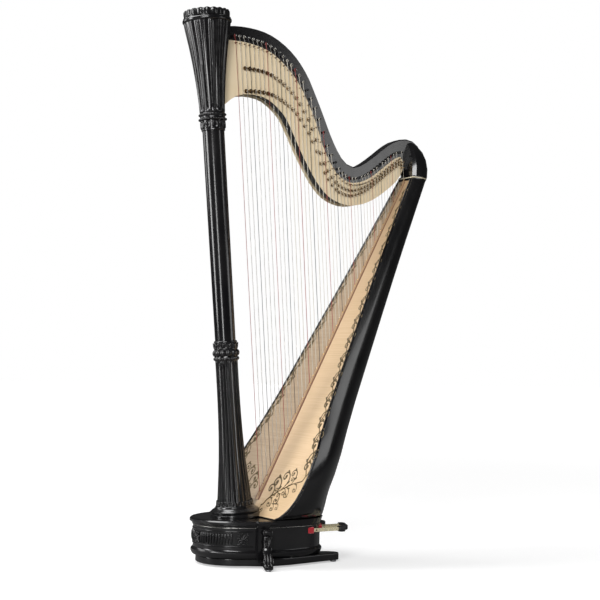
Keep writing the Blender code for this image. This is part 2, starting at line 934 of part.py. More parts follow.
def shell_ring(z, front, side, depth_loss, steps=16):
    """Half an ellipse across the shell, from the board's left edge round the back to the right.

    Near its foot the shell is squarer, as the base under it.
    """
    power = 2 / (2 + (shell_fullness - 2) * near_foot(z) ** 2)
    half = board_half_width(z) + side
    start_x = board_x(z)
    depth = spine_x(z) - start_x - depth_loss
    ring = []
    for i in range(steps + 1):
        angle = math.pi * i / steps
        across = math.copysign(half * abs(math.cos(angle)) ** power, -math.cos(angle))
        ring.append(Vector((start_x + depth * math.sin(angle) ** power, across, z)))
    if front:
        ring[0].x += front
        ring[-1].x += front
    return ring


def shell_heights(low, high):
    """The heights of the table of widths that lie well inside the two ends, and the ends."""
    inner = [row[0] for row in board_widths if low + board_inset_foot < row[0] < high - board_inset_foot]
    return [low] + inner + [high]


def make_soundbox(black, spruce, maple, ivory):
    low = seat_height
    high = shell_top_height
    shell = loft(
        "soundbox_shell",
        [shell_ring(z, 0.0, shell_rim, 0.0) for z in shell_heights(low, high)],
        black,
    )
    hollow = loft(
        "shell_hollow_cutter",
        [
            shell_ring(z, -rabbet_reach, -shell_ledge, shell_wall)
            for z in shell_heights(low + shell_floor, high - shell_head)
        ],
    )
    cut(shell, hollow)
    rabbet_rings = []
    board_low = low + board_inset_foot
    board_high = high - board_inset_head
    for z in shell_heights(board_low, board_high):
        half = board_half_width(z) + gap
        level = {board_low: board_low - gap, board_high: board_high + gap}.get(z, z)
        x = board_x(level)
        rabbet_rings.append(rectangle(x - rabbet_reach, x + board_thickness + gap, half, level))
    cut(shell, loft("board_rabbet_cutter", rabbet_rings))
    holes = bmesh.new()
    for z, half_height, half_width in sound_holes:
        along = Vector((spine_slope, 0, 1)).normalized()
        out = Vector((along.z, 0, -along.x))
        centre = Vector((spine_x(z), 0, z))
        rings = []
        for reach in (-hole_reach, hole_reach):
            rings.append([
                centre + out * reach + along * half_height * math.cos(turn)
                + Vector((0, half_width * math.sin(turn), 0))
                for turn in (2 * math.pi * k / 20 for k in range(20))
            ])
        add_loft(holes, rings)
    cut(shell, from_bmesh("sound_hole_cutter", holes))

    board_rings = []
    for z in shell_heights(board_low, board_high):
        half = board_half_width(z)
        x = board_x(z)
        board_rings.append(rectangle(x, x + board_thickness, half, z))
    loft("soundboard", board_rings, spruce)

    rib_rings = []
    for z, half in ((rib_foot_height, rib_foot_half_width), (board_high - rib_thickness, rib_top_half_width)):
        x = board_x(z) - gap
        narrow = half - rib_thickness / 2
        corners = ((x, -half), (x, half), (x - rib_thickness, narrow), (x - rib_thickness, -narrow))
        rib_rings.append([Vector((*corner, z)) for corner in corners])
    loft("string_rib", rib_rings, maple)

    band_low = shell_top_height + gap
    band_rings = [
        shell_ring(z, 0.0, shell_rim + band_proud, -band_proud)
        for z in (band_low, band_low + band_thickness)
    ]
    loft("shoulder_band", band_rings, ivory)


# Neck

def resample(curve, count):
    """Points at equal steps along a curve."""
    reach = [0.0]
    for start, end in zip(curve, curve[1:]):
        reach.append(reach[-1] + (end - start).length)
    made = []
    for step in range(count):
        wanted = reach[-1] * step / (count - 1)
        for i in range(len(curve) - 1):
            if wanted <= reach[i + 1] or i == len(curve) - 2:
                share = (wanted - reach[i]) / (reach[i + 1] - reach[i])
                made.append(curve[i].lerp(curve[i + 1], min(1.0, share)))
                break
    return made


def slab(name, top, foot, left, right, edge, finish):
    """A board between two curves seen from the side, with its long edges broken by the edge."""
    rings = []
    for high, low in zip(resample(top, slab_stations), resample(foot, slab_stations)):
        up = (high - low).normalized() * edge
        ring = [(low, left + edge), (low, right - edge)]
        if edge:
            ring += [(low + up, right), (high - up, right)]
        ring += [(high, right - edge), (high, left + edge)]
        if edge:
            ring += [(high - up, left), (low + up, left)]
        rings.append([Vector((point.x, y, point.y)) for point, y in ring])
    return loft(name, rings, finish)


def knee_ring(z, front, rear, left, right):
    """A flat front and a round back across the knee."""
    middle = (left + right) / 2
    half = (right - left) / 2
    ring = [Vector((front, middle - half * 0.8, z))]
    for i in range(13):
        angle = math.pi * i / 12
        side = -math.cos(angle)
        depth = (rear - front - knee_bevel) * math.sin(angle) ** 0.8
        ring.append(Vector((front + knee_bevel + depth, middle + half * side, z)))
    ring.append(Vector((front, middle + half * 0.8, z)))
    return ring


def moving_spindles(table):
    """Where the spindles of the moving discs pass through the left plate."""
    found = []
    for index in range(first_disc_string, first_disc_string + len(moving_octave)):
        found += [(string_at(index, z), z) for z in disc_heights(*table[index][:2])]
    return found


def hole_cutter(name, places, radius, sides):
    """Cutters along Y, right through the neck and its plates."""
    bm = bmesh.new()
    for x, z in places:
        ends = (neck_left_y - neck_thickness, neck_right_y + neck_thickness)
        add_loft(bm, [circle((x, y, z), radius, sides) for y in ends])
    return from_bmesh(name, bm)


def follow_capital(points, share=1.0):
    """Moves the neck's curve with the capital's top: wholly at the column, and not at all at the knee.

    The neck's highest point stands level with the capital's top.
    """
    drawn_height = max(z for _, z in neck_top)
    lift = (capital_top_height - drawn_height) * share
    shift = column_x(capital_top_height) - column_x(drawn_height)
    front, rear = neck_throat[0], column_x(drawn_height)
    moved = []
    for x, z in points:
        near_column = min(1.0, max(0.0, (front - x) / (front - rear)))
        moved.append((x + shift * near_column, z + lift * near_column))
    return moved


def make_neck(black, gold_plate, table):
    left, right = neck_left_y, neck_right_y
    plate_edge = spline(follow_capital(plate_top), 3)
    plate_lower = spline(follow_capital(plate_foot, 1 - sharp_share), 3)[::-1]
    neck_lower = offset_curve(plate_lower, plate_overhang) + [Vector(neck_throat)]
    neck = slab("neck", spline(follow_capital(neck_top), 3), neck_lower, left, right, neck_edge_round, black)
    knee = loft("knee_form", [knee_ring(*section) for section in knee_sections])
    boolean(neck, knee, "UNION", "MANIFOLD")
    capital_space = [
        column_ring(capital_foot_height + capital_height * rise, radius + gap, 40)
        for rise, radius, _ in capital_profile
    ]
    capital_cutter = loft("capital_cutter", capital_space)
    cut(neck, capital_cutter)
    pins_at = [(string_at(index, row[2]), row[2]) for index, row in enumerate(table)]
    cut(neck, hole_cutter("pin_hole_cutter", pins_at, pin_radius + running_gap, 4))

    plates = {}
    for name, near, far in (
        ("action_plate_left", plate_left_y, plate_left_y + plate_thickness),
        ("action_plate_right", right + gap, right + gap + plate_thickness),
    ):
        plate = slab(name, plate_edge, plate_lower, near, far, 0.0, gold_plate)
        if near < left:
            spindles = moving_spindles(table)
            holes = hole_cutter("spindle_hole_cutter", spindles, spindle_radius + running_gap, 12)
            boolean(plate, holes, "DIFFERENCE", "MANIFOLD")
        cut(plate, capital_cutter)
        plates[name] = plate
    knee_cutter = loft(
        "knee_cutter",
        [
            knee_ring(z, front - gap, rear + gap, low - gap, high + gap)
            for z, front, rear, low, high in knee_sections
        ],
    )
    for plate in plates.values():
        cut(plate, knee_cutter)
    return plates["action_plate_left"]


# Strings

def string_x(index):
    """Where a string stands at string_level."""
    return first_string_x + first_spacing * index - spacing_loss * index ** 2 / 2


def string_slope(index):
    return string_lean + bass_lean * max(0.0, 1 - index / bass_lean_strings)


def string_at(index, z):
    return string_x(index) + string_slope(index) * (string_level - z)


def string_radius(index):
    if index < wire_strings:
        return wire_radius
    share = (index - wire_strings) / (string_count - 1 - wire_strings)
    return gut_radius + (treble_radius - gut_radius) * share


def string_foot(index):
    """The height where a string meets the middle of the eyelet strip."""
    proud = gap * 2 + rib_thickness + strip_thickness / 2
    reach = string_x(index) + string_slope(index) * string_level - board_foot_x + proud
    return reach / (board_slope + string_slope(index))


def crossing(curve, index):
    """The height where a string crosses a curve that runs over it."""
    found = curve[-1].y
    for start, end in zip(curve, curve[1:]):
        first = start.x - string_at(index, start.y)
        second = end.x - string_at(index, end.y)
        if first <= 0 <= second:
            share = first / (first - second)
            found = start.y + (end.y - start.y) * share
            break
    return found


def string_table():
    """For each string: its foot, its bridge pin's height and its tuning pin's height."""
    edge = spline(follow_capital(plate_top), 6)
    bridge = offset_curve(edge, -bridge_row)
    pins = offset_curve(edge, pin_row)
    return [(string_foot(i), crossing(bridge, i), crossing(pins, i)) for i in range(string_count)]


def disc_heights(foot, bridge):
    length = bridge - foot
    natural = bridge - max(length * natural_share, least_disc_step)
    sharp = natural - max(length * (sharp_share - natural_share), least_disc_step)
    return natural, sharp


def disc_radius(index):
    share = index / (string_count - 1)
    return bass_disc_radius + (treble_disc_radius - bass_disc_radius) * share


def string_ring(index, z):
    radius = string_radius(index)
    x = string_at(index, z)
    return circle((x, 0, z), radius, 3, "Z")


def make_strings(metal, table):
    low = string_foot(0) - first_spacing
    high = string_foot(string_count - 1) + first_spacing / 4
    rings = []
    for z in (low, high):
        x = board_x(z) - 2 * gap - rib_thickness
        half = strip_half_width
        rings.append(rectangle(x - strip_thickness, x, half, z))
    strings = loft("strings_and_tuning_pins", rings, metal, smooth=False)
    wires = bmesh.new()
    pins = bmesh.new()
    for index, row in enumerate(table):
        foot, pin_z = row[0], row[2]
        add_loft(wires, [string_ring(index, foot), string_ring(index, pin_z)])
        x = string_at(index, pin_z)
        ends = (-pin_left, neck_right_y + pin_right)
        add_loft(pins, [circle((x, y, pin_z), pin_radius, 4) for y in ends])
    unite(strings, from_bmesh("wires_form", wires))
    unite(strings, from_bmesh("pins_form", pins))


def make_discs(plate, brass, table):
    """Bridge pins and fixed discs are part of the plate; one octave of discs turns."""
    bridge_pins = bmesh.new()
    fixed = bmesh.new()
    last_moving = first_disc_string + len(moving_octave)
    in_plate = plate_left_y + plate_thickness / 2
    outer = plate_left_y - disc_standoff - disc_thickness
    for index, row in enumerate(table):
        foot, bridge = row[:2]
        side = bridge_radius + string_radius(index) + gap
        x = string_at(index, bridge) + side
        tip = plate_left_y - bridge_proud
        add_loft(bridge_pins, [circle((x, y, bridge), bridge_radius, 4) for y in (tip, in_plate)])
        if index < first_disc_string:
            continue
        moving = index < last_moving
        for kind, z in zip(("natural", "sharp"), disc_heights(foot, bridge)):
            x = string_at(index, z)
            if moving:
                note = moving_octave[index - first_disc_string]
                make_disc(f"{kind}_disc_{note}", x, z, disc_radius(index), brass)
            else:
                add_loft(fixed, [circle((x, y, z), disc_radius(index), 6) for y in (outer, in_plate)])
    boolean(plate, from_bmesh("bridge_pins_form", bridge_pins), "UNION", "MANIFOLD")
    boolean(plate, from_bmesh("fixed_discs_form", fixed), "UNION", "MANIFOLD")


def make_disc(name, x, z, radius, brass):
    """A disc on its spindle, with two prongs that stand either side of the string."""
    outer = plate_left_y - disc_standoff - disc_thickness
    inner = outer + disc_thickness
    spindle_end = plate_left_y + plate_thickness
    steps = ((outer, radius), (inner, radius), (inner, spindle_radius), (spindle_end, spindle_radius))
    disc = loft(name, [circle((0, y, 0), size, 10) for y, size in steps], brass, (x, 0, z))
    prongs = bmesh.new()
    for side in (-1, 1):
        centre = side * prong_offset
        ends = (outer - prong_length, outer + disc_thickness / 2)
        add_loft(prongs, [circle((centre, y, 0), prong_radius, 4) for y in ends])
    unite(disc, from_bmesh(name + "_prongs_form", prongs, None, (x, 0, z)))


def main():
    clear_scene()
    black = material("ebonised_wood", (0.012, 0.012, 0.013), 0.22)
    felt_red = material("red_felt", (0.35, 0.010, 0.020), 0.95)
    steel = material("steel", (0.62, 0.62, 0.63), 0.28, 1.0)
    iron = material("cast_iron", (0.05, 0.05, 0.05), 0.55, 1.0)
    brass = material("brass", (0.80, 0.62, 0.32), 0.25, 1.0)
    rubber = material("rubber", (0.015, 0.015, 0.015), 0.75)
    spruce = material("spruce", (0.72, 0.52, 0.30), 0.45)
    maple = material("maple", (0.55, 0.33, 0.17), 0.40)
    ivory = material("ivory_line", (0.82, 0.78, 0.66), 0.35)
    gold_plate = material("pale_gold_plate", (0.83, 0.74, 0.56), 0.30, 0.8)
    make_base(black, felt_red, steel)
    make_column(black)
    make_pedals(brass, rubber, steel, iron)
    make_soundbox(black, spruce, maple, ivory)
    table = string_table()
    plate = make_neck(black, gold_plate, table)
    make_strings(steel, table)
    make_discs(plate, brass, table)


main()
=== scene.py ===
"""Looks of the concert pedal harp: finishes, carving, strings and fittings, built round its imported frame."""

import json
import math
from contextlib import contextmanager

import bmesh
import bpy
from mathutils import Matrix, Vector


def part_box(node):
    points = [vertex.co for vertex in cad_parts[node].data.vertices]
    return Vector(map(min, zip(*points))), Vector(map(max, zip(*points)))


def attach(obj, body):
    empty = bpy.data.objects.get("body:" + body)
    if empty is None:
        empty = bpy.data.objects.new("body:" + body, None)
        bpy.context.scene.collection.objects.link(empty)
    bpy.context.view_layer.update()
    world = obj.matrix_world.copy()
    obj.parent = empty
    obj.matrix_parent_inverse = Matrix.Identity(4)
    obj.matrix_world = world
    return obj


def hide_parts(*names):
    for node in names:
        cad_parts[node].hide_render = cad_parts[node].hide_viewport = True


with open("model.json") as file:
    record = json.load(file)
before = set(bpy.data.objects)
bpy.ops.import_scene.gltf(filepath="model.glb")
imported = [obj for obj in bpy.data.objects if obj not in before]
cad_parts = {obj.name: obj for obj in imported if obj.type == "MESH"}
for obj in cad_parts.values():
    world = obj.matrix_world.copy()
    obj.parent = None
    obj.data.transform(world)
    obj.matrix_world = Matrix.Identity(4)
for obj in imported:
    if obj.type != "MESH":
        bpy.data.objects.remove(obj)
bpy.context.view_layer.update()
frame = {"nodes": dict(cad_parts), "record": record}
nodes = frame["nodes"]
body_of = {}
for body_name, members in frame["record"]["behaviour"]["bodies"].items():
    for member in members:
        body_of[member] = body_name
slot_of = {part["node"]: part["material_slot"] for part in frame["record"]["subparts"]}

# The column leans back; these are the frame's own measures, in metres
column_lean = math.radians(5.27)
column_foot_x = -0.258
seat_height = 0.1549
shaft_foot_height = 0.675
capital_foot_height = 1.4503
capital_top_height = 1.829
board_foot_x = -0.297
board_slope = 0.522
board_top_height = 1.3613
board_widths = (
    (0.1549, 0.158), (0.163, 0.187), (0.177, 0.206), (0.197, 0.2255), (0.223, 0.239), (0.260, 0.247),
    (0.300, 0.249), (0.370, 0.237), (0.450, 0.210), (0.540, 0.185), (0.640, 0.164), (0.760, 0.141),
    (0.880, 0.118), (1.000, 0.096), (1.120, 0.075), (1.240, 0.056), (1.3613, 0.038),
)
rib_rise = 0.0051
string_count = 47
string_level = 1.100
wire_strings = 12
wire_radius = 0.0009
gut_radius = 0.0011
treble_radius = 0.0005
plate_face_y = 0.0085
disc_face_y = 0.0040
pin_right_y = 0.0747
first_disc_string = 2
least_disc_step = 0.0105
disc_inner_y = 0.0066
disc_slant = math.radians(-15)
prong_offset = 0.0042
bridge_pin_radius = 0.0018
tuning_pin_radius = 0.0031
coil_turns = 2
coil_sides = 10
strip_proud = 0.0045
capital_flutes = 20
moving_octave = ("E", "F", "G", "A", "B", "C", "D")
pedal_letters = ("D", "C", "B", "E", "F", "G", "A")
pedal_rows = (-0.1485, -0.112, -0.072, 0.010, 0.055, 0.100, 0.1485)
pedal_bar_z = 0.114
wall_centre_x = -0.1525
wall_half_width = 0.162
# For the front and the back of the wall: its reach and the power of its oval
wall_curves = {True: (0.2625, 2 / 2.2), False: (0.182, 2 / 2.4)}
wall_top_height = 0.1308
console_spot = (-0.243, 0.166)
console_turn = math.radians(25)
console_half = 0.0145
# The spray at the soundboard's foot: height, distance from the middle, turn, size, and 1 above or -1 below its stem
spray_curls = (
    (0.216, 0.064, 0.5, 2.3, 1), (0.238, 0.096, 0.2, 2.6, 1), (0.262, 0.130, 0.3, 2.3, 1), (0.280, 0.166, 0.3, 1.9, 1),
    (0.222, 0.072, 2.0, 1.5, -1), (0.240, 0.106, 2.1, 1.8, -1), (0.260, 0.146, 2.0, 1.6, -1), (0.274, 0.184, 1.9, 1.3, -1),
    (0.204, 0.100, 1.9, 1.2, -1), (0.212, 0.112, 0.9, 1.2, 1), (0.200, 0.052, -2.4, 1.4, 1),
    (0.228, 0.082, 1.1, 1.3, 1), (0.250, 0.116, 1.2, 1.4, -1), (0.268, 0.150, 1.1, 1.3, 1), (0.206, 0.130, 1.9, 1.0, -1),
)
spray_stem = (
    (0.196, 0.048), (0.214, 0.062), (0.227, 0.079), (0.243, 0.106), (0.258, 0.136), (0.272, 0.168), (0.281, 0.200),
    (0.286, 0.2190),
)


# Selecting and shaping

def clear_selection():
    bpy.ops.object.select_all(action="DESELECT")


def take(*pieces):
    clear_selection()
    for piece in pieces:
        piece.select_set(True)
    bpy.context.view_layer.objects.active = pieces[0]
    return pieces[0]


@contextmanager
def shaping(piece, kind="FACE"):
    """Edit mode on one piece, with nothing selected in it."""
    take(piece)
    bpy.ops.object.mode_set(mode="EDIT")
    bpy.ops.mesh.select_mode(type=kind)
    bpy.ops.mesh.select_all(action="DESELECT")
    yield piece
    bpy.ops.object.mode_set(mode="OBJECT")


def pick(test):
    """Selects the faces that pass the test on their middle and normal."""
    data = bpy.context.edit_object.data
    shape = bmesh.from_edit_mesh(data)
    for face in shape.faces:
        face.select_set(bool(test(face.calc_center_median(), face.normal)))
    bmesh.update_edit_mesh(data)


def start_from(kind, **shape):
    """Adds a primitive at its size and place, with its place in its mesh."""
    clear_selection()
    getattr(bpy.ops.mesh, f"primitive_{kind}_add")(**shape)
    bpy.ops.object.transform_apply(location=True, rotation=True, scale=True)
    return bpy.context.object


def outward(piece):
    with shaping(piece):
        bpy.ops.mesh.select_all(action="SELECT")
        bpy.ops.mesh.normals_make_consistent(inside=False)
    return piece


def modified(piece, kind, **settings):
    """Adds a modifier and applies it."""
    modifier = piece.modifiers.new(kind, kind)
    for name, value in settings.items():
        setattr(modifier, name, value)
    take(piece)
    bpy.ops.object.modifier_apply(modifier=modifier.name)
    return piece


def rounded(piece, levels=2):
    return modified(piece, "SUBSURF", levels=levels, render_levels=levels)


def eased(piece, width, segments=2, angle=35):
    """Breaks the sharp edges."""
    return modified(
        piece, "BEVEL", width=width, segments=segments, limit_method="ANGLE", angle_limit=math.radians(angle)
    )


def laid_out(model, places):
    """A copy of the model at each place, joined as one piece. The model itself goes."""
    made = []
    for place in places:
        piece = model.copy()
        piece.data = model.data.copy()
        piece.data.transform(place)
        bpy.context.scene.collection.objects.link(piece)
        made.append(piece)
    bpy.data.objects.remove(model)
    return joined(made)


def joined(pieces):
    take(*pieces)
    if len(pieces) > 1:
        bpy.ops.object.join()
    return bpy.context.object


def finished(piece, name, finish, body="frame", angle=None):
    """Names a piece, gives it its finish and sets it on the body that carries it."""
    piece.name = piece.data.name = name
    take(piece)
    bpy.ops.object.transform_apply(location=True, rotation=True, scale=True)
    if angle is not None:
        bpy.ops.object.shade_smooth_by_angle(angle=math.radians(angle))
    piece.data.materials.clear()
    piece.data.materials.append(finish.material)
    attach(piece, body)
    return piece


def turned(profile, sides=48):
    """A round piece: a disc extruded and scaled through the profile of height and radius."""
    height, radius = profile[0]
    piece = start_from("circle", vertices=sides, radius=radius, fill_type="NGON", location=(0, 0, height))
    with shaping(piece):
        bpy.ops.mesh.select_all(action="SELECT")
        for (low, before), (high, after) in zip(profile, profile[1:]):
            bpy.ops.mesh.extrude_region_move(TRANSFORM_OT_translate={"value": (0, 0, high - low)})
            share = after / before
            bpy.ops.transform.resize(value=(share, share, 1), center_override=(0, 0, high))
    return outward(piece)


def pick_points(test):
    """Selects the points that pass the test on their place."""
    data = bpy.context.edit_object.data
    shape = bmesh.from_edit_mesh(data)
    for point in shape.verts:
        point.select_set(bool(test(point.co)))
    shape.select_flush_mode()
    bmesh.update_edit_mesh(data)


def on_ridge(point, sides):
    """Whether a point stands between two flutes or lobes."""
    return round(math.atan2(point.y, point.x) * sides / (2 * math.pi)) % 4 == 0


def fluted(profile, count, depth, levels=1, dip=None):
    """A turned piece with hollow flutes, or lobes where the depth is negative, on rows of height, radius and share
    of the depth. A dip of height and drop lowers the points between the lobes above that height."""
    sides = count * 4
    piece = turned([row[:2] for row in profile], sides)
    with shaping(piece, "VERT"):
        for height, radius, share in profile:
            for quarters, part in (((1, 3), 0.72), ((2,), 1.0)):
                if not share:
                    continue

                def in_flute(point):
                    turn = math.atan2(point.y, point.x) * sides / (2 * math.pi)
                    return abs(point.z - height) < 1e-5 and round(turn) % 4 in quarters

                pick_points(in_flute)
                drawn = 1 - depth * share * part / radius
                bpy.ops.transform.resize(value=(drawn, drawn, 1), center_override=(0, 0, height))
        if dip:
            pick_points(lambda point: point.z > dip[0] and on_ridge(point, sides) and point.xy.length > dip[2])
            bpy.ops.transform.translate(value=(0, 0, -dip[1]))
    return rounded(piece, levels)


def tube(points, radius, sides=8, ring=False):
    """A bar along the points: a curve with a round bevel, made a mesh."""
    clear_selection()
    bpy.ops.curve.primitive_nurbs_path_add()
    piece = bpy.context.object
    piece.data.splines.clear()
    line = piece.data.splines.new("POLY")
    line.points.add(len(points) - 1)
    for spot, point in zip(line.points, points):
        spot.co = (*point, 1)
    piece.data.dimensions = "3D"
    piece.data.bevel_depth = radius
    piece.data.bevel_resolution = max(0, sides // 2 - 2)
    piece.data.use_fill_caps = not ring
    line.use_cyclic_u = ring
    bpy.ops.object.convert(target="MESH")
    return bpy.context.object


def bead(width, height, proud, sides=12):
    """A bead with a flattened back: its own X points out of what it sits on."""
    piece = start_from("uv_sphere", segments=sides, ring_count=sides // 2, radius=0.5)
    with shaping(piece):
        bpy.ops.mesh.select_all(action="SELECT")
        bpy.ops.transform.resize(value=(2 * proud, width, height))
        pick(lambda middle, normal: normal.x < -0.3)
        bpy.ops.transform.resize(value=(0.3, 1, 1))
    return piece


def leaf(width, height, thick, tip=0.5, hollow=0.35, lean=0.0):
    """An upright lobe with a raised rim, its foot at the origin and its own X pointing outwards."""
    piece = start_from("cube", size=1, location=(0, 0, height * 0.3), scale=(thick, width, height * 0.6))
    with shaping(piece):
        pick(lambda middle, normal: normal.z > 0.9)
        bpy.ops.mesh.extrude_region_move(TRANSFORM_OT_translate={"value": (thick * lean, 0, height * 0.4)})
        bpy.ops.transform.resize(value=(0.7, tip, 1))
        pick(lambda middle, normal: normal.x > 0.5)
        bpy.ops.mesh.inset(thickness=width * 0.17, depth=0)
        bpy.ops.mesh.inset(thickness=width * 0.05, depth=-thick * hollow)
    return rounded(piece)


def slab(size, middle, ease, segments=3):
    """A block with rounded edges."""
    piece = start_from("cube", size=1, location=middle, scale=size)
    return eased(piece, ease, segments)


# Places

def column_place(z, turn=0.0, radius=0.0, out=0.0):
    """A place round the leaning column: its own Z runs along the column and its X outwards."""
    place = Matrix.Translation((column_foot_x - math.tan(column_lean) * z, 0, z))
    place = place @ Matrix.Rotation(-column_lean, 4, "Y") @ Matrix.Rotation(turn, 4, "Z")
    return place @ Matrix.Translation((radius, 0, 0)) @ Matrix.Rotation(out, 4, "Y")


def stood(profile, foot):
    """Heights above the floor on the column's axis, as lengths along it from a foot."""
    return [((z - foot) / math.cos(column_lean), radius) for z, radius in profile]


def stood_flutes(profile, foot):
    return [((z - foot) / math.cos(column_lean), radius, share) for z, radius, share in profile]


def on_column(piece, z):
    piece.data.transform(column_place(z))
    return piece


def round_column(model, z, radius, count, out=0.0, first=0.0):
    turns = [2 * math.pi * (i + first) / count for i in range(count)]
    return laid_out(model, [column_place(z, turn, radius, out) for turn in turns])


def board_half_width(z):
    for (low, first), (high, second) in zip(board_widths, board_widths[1:]):
        if z <= high:
            return first + (second - first) * max(0.0, (z - low) / (high - low))
    return board_widths[-1][1]


def on_board(z, y, turn=0.0, size=1.0, proud=0.0):
    """A place on the soundboard's face: its own X runs up the board and its Z stands off it."""
    along = Vector((board_slope, 0, 1)).normalized()
    out = Vector((-along.z, 0, along.x))
    across = out.cross(along)
    spot = Vector((board_foot_x + board_slope * z, y, z)) + out * proud
    place = Matrix((along, across, out)).transposed().to_4x4()
    return Matrix.Translation(spot) @ place @ Matrix.Rotation(turn, 4, "Z") @ Matrix.Scale(size, 4)


def wall_point(angle, proud=0.0):
    """A point on the base's oval wall, from above; 180 degrees is the middle of the front."""
    reach, power = wall_curves[math.cos(angle) < 0]
    x = wall_centre_x + math.copysign(reach * abs(math.cos(angle)) ** power, math.cos(angle))
    y = math.copysign(wall_half_width * abs(math.sin(angle)) ** power, math.sin(angle))
    spot = Vector((x, y, 0))
    if proud:
        ahead, behind = wall_point(angle + 0.01), wall_point(angle - 0.01)
        along = (ahead - behind).normalized()
        spot += Vector((along.y, -along.x, 0)) * proud
    return spot


def on_wall(angle, z, proud=0.0, turn=0.0):
    """A place on the wall: its own X points outwards and its Z up."""
    spot = wall_point(angle, proud)
    out = (wall_point(angle, 0.01) - wall_point(angle)).normalized()
    up = Vector((0, 0, 1))
    place = Matrix((out, up.cross(out), up)).transposed().to_4x4()
    return Matrix.Translation((spot.x, spot.y, z)) @ place @ Matrix.Rotation(turn, 4, "X")


def along_wall(start, step, count):
    """Angles round the wall that stand a step apart, from a start in degrees."""
    angle, spot, found = math.radians(start), wall_point(math.radians(start)), []
    while len(found) < count:
        found.append(angle)
        while (wall_point(angle) - spot).length < step:
            angle += 0.002
        spot = wall_point(angle)
    return found


def on_console(side, out, z, across=0.0):
    """A place on a console at one front corner: its own X points away from the base and its Z up."""
    away = Vector((-math.sin(console_turn), side * math.cos(console_turn), 0))
    up = Vector((0, 0, 1))
    place = Matrix((away, up.cross(away), up)).transposed().to_4x4()
    start = Vector((console_spot[0], side * console_spot[1], z)) + away * out
    return Matrix.Translation(start) @ place @ Matrix.Translation((0, across, 0))


def facing(x, y, z, size=1.0, turn=0.0):
    """A place on the harp's left side: its own Z points to the left."""
    place = Matrix.Translation((x, y, z)) @ Matrix.Rotation(turn, 4, "Y")
    return place @ Matrix.Rotation(math.radians(90), 4, "X") @ Matrix.Diagonal((size, size, 1, 1))


def string_at(index, z):
    foot_x = -0.2555 + 0.01723 * index - 0.000105 * index ** 2 / 2
    slope = 0.0760 + 0.0110 * max(0.0, 1 - index / 10)
    return foot_x + slope * (string_level - z)


def string_foot(index):
    slope = 0.0760 + 0.0110 * max(0.0, 1 - index / 10)
    reach = string_at(index, 0) - board_foot_x + rib_rise
    return reach / (board_slope + slope)


def string_radius(index):
    if index < wire_strings:
        return wire_radius
    share = (index - wire_strings) / (string_count - 1 - wire_strings)
    return gut_radius + (treble_radius - gut_radius) * share


def middles_by_string(node, y):
    """The middle of what a node holds beside each string, at one distance across."""
    found = [set() for _ in range(string_count)]
    for point in nodes[node].data.vertices:
        if abs(point.co.y - y) > 1e-4:
            continue
        x, z = point.co.x, point.co.z
        nearest = min(range(string_count), key=lambda index: abs(string_at(index, z) - x))
        found[nearest].add((round(x, 5), round(z, 5)))
    return [Vector((sum(x for x, z in spots), sum(z for x, z in spots))) / len(spots) for spots in found]


tuning_pins = middles_by_string("strings_and_tuning_pins", pin_right_y)
bridge_pins = middles_by_string("action_plate_left", -0.0040)


# Finishes

class Value:
    """A node's output. Sums and products of values add Math nodes."""

    def __init__(self, finish, socket):
        self.finish = finish
        self.socket = socket

    def math(self, operation, first, second):
        return self.finish.node("ShaderNodeMath", {"operation": operation}, {0: first, 1: second})

    def __add__(self, other):
        return self.math("ADD", self, other)

    def __sub__(self, other):
        return self.math("SUBTRACT", self, other)

    def __rsub__(self, other):
        return self.math("SUBTRACT", other, self)

    def __mul__(self, other):
        return self.math("MULTIPLY", self, other)

    def __gt__(self, other):
        return self.math("GREATER_THAN", self, other)

    def __lt__(self, other):
        return self.math("LESS_THAN", self, other)

    __radd__ = __add__
    __rmul__ = __mul__


class Finish:
    """A material: a Principled shader and the nodes that feed it."""

    def __init__(self, name, **fixed):
        self.material = bpy.data.materials.new(name)
        self.material.use_nodes = True
        self.tree = self.material.node_tree
        self.shader = self.tree.nodes["Principled BSDF"]
        for socket, value in fixed.items():
            self.shader.inputs[socket.replace("_", " ")].default_value = value
        self.place = self.node("ShaderNodeTexCoord", out="Object")

    def give(self, socket, value):
        if isinstance(value, Value):
            self.tree.links.new(value.socket, socket)
        elif isinstance(value, tuple) and socket.type == "RGBA":
            socket.default_value = (*value, 1.0)
        else:
            socket.default_value = value

    def node(self, kind, settings=None, values=None, out=0):
        made = self.tree.nodes.new(kind)
        for name, value in (settings or {}).items():
            setattr(made, name, value)
        for name, value in (values or {}).items():
            self.give(made.inputs[name], value)
        return Value(self, made.outputs[out])

    def feed(self, **sockets):
        for name, value in sockets.items():
            self.give(self.shader.inputs[name.replace("_", " ")], value)
        return self

    def stretched(self, stretch):
        return self.node("ShaderNodeVectorMath", {"operation": "MULTIPLY"}, {0: self.place, 1: stretch})

    def noise(self, scale, detail=2.0, stretch=(1, 1, 1)):
        values = {"Vector": self.stretched(stretch), "Scale": scale, "Detail": detail}
        return self.node("ShaderNodeTexNoise", {}, values)

    def axis(self, name):
        return self.node("ShaderNodeSeparateXYZ", {}, {0: self.place}, out=name)

    def along(self, direction):
        return self.node("ShaderNodeVectorMath", {"operation": "DOT_PRODUCT"}, {0: self.place, 1: direction}, out=1)

    def levels(self, value, low, high, first=0.0, second=1.0):
        values = {"Value": value, "From Min": low, "From Max": high, "To Min": first, "To Max": second}
        return self.node("ShaderNodeMapRange", {}, values)

    def mixed(self, share, first, second):
        return self.node("ShaderNodeMix", {"data_type": "RGBA"}, {0: share, 6: first, 7: second}, out=2)

    def raised(self, height, distance):
        return self.feed(Normal=self.node("ShaderNodeBump", {}, {"Height": height, "Distance": distance}))


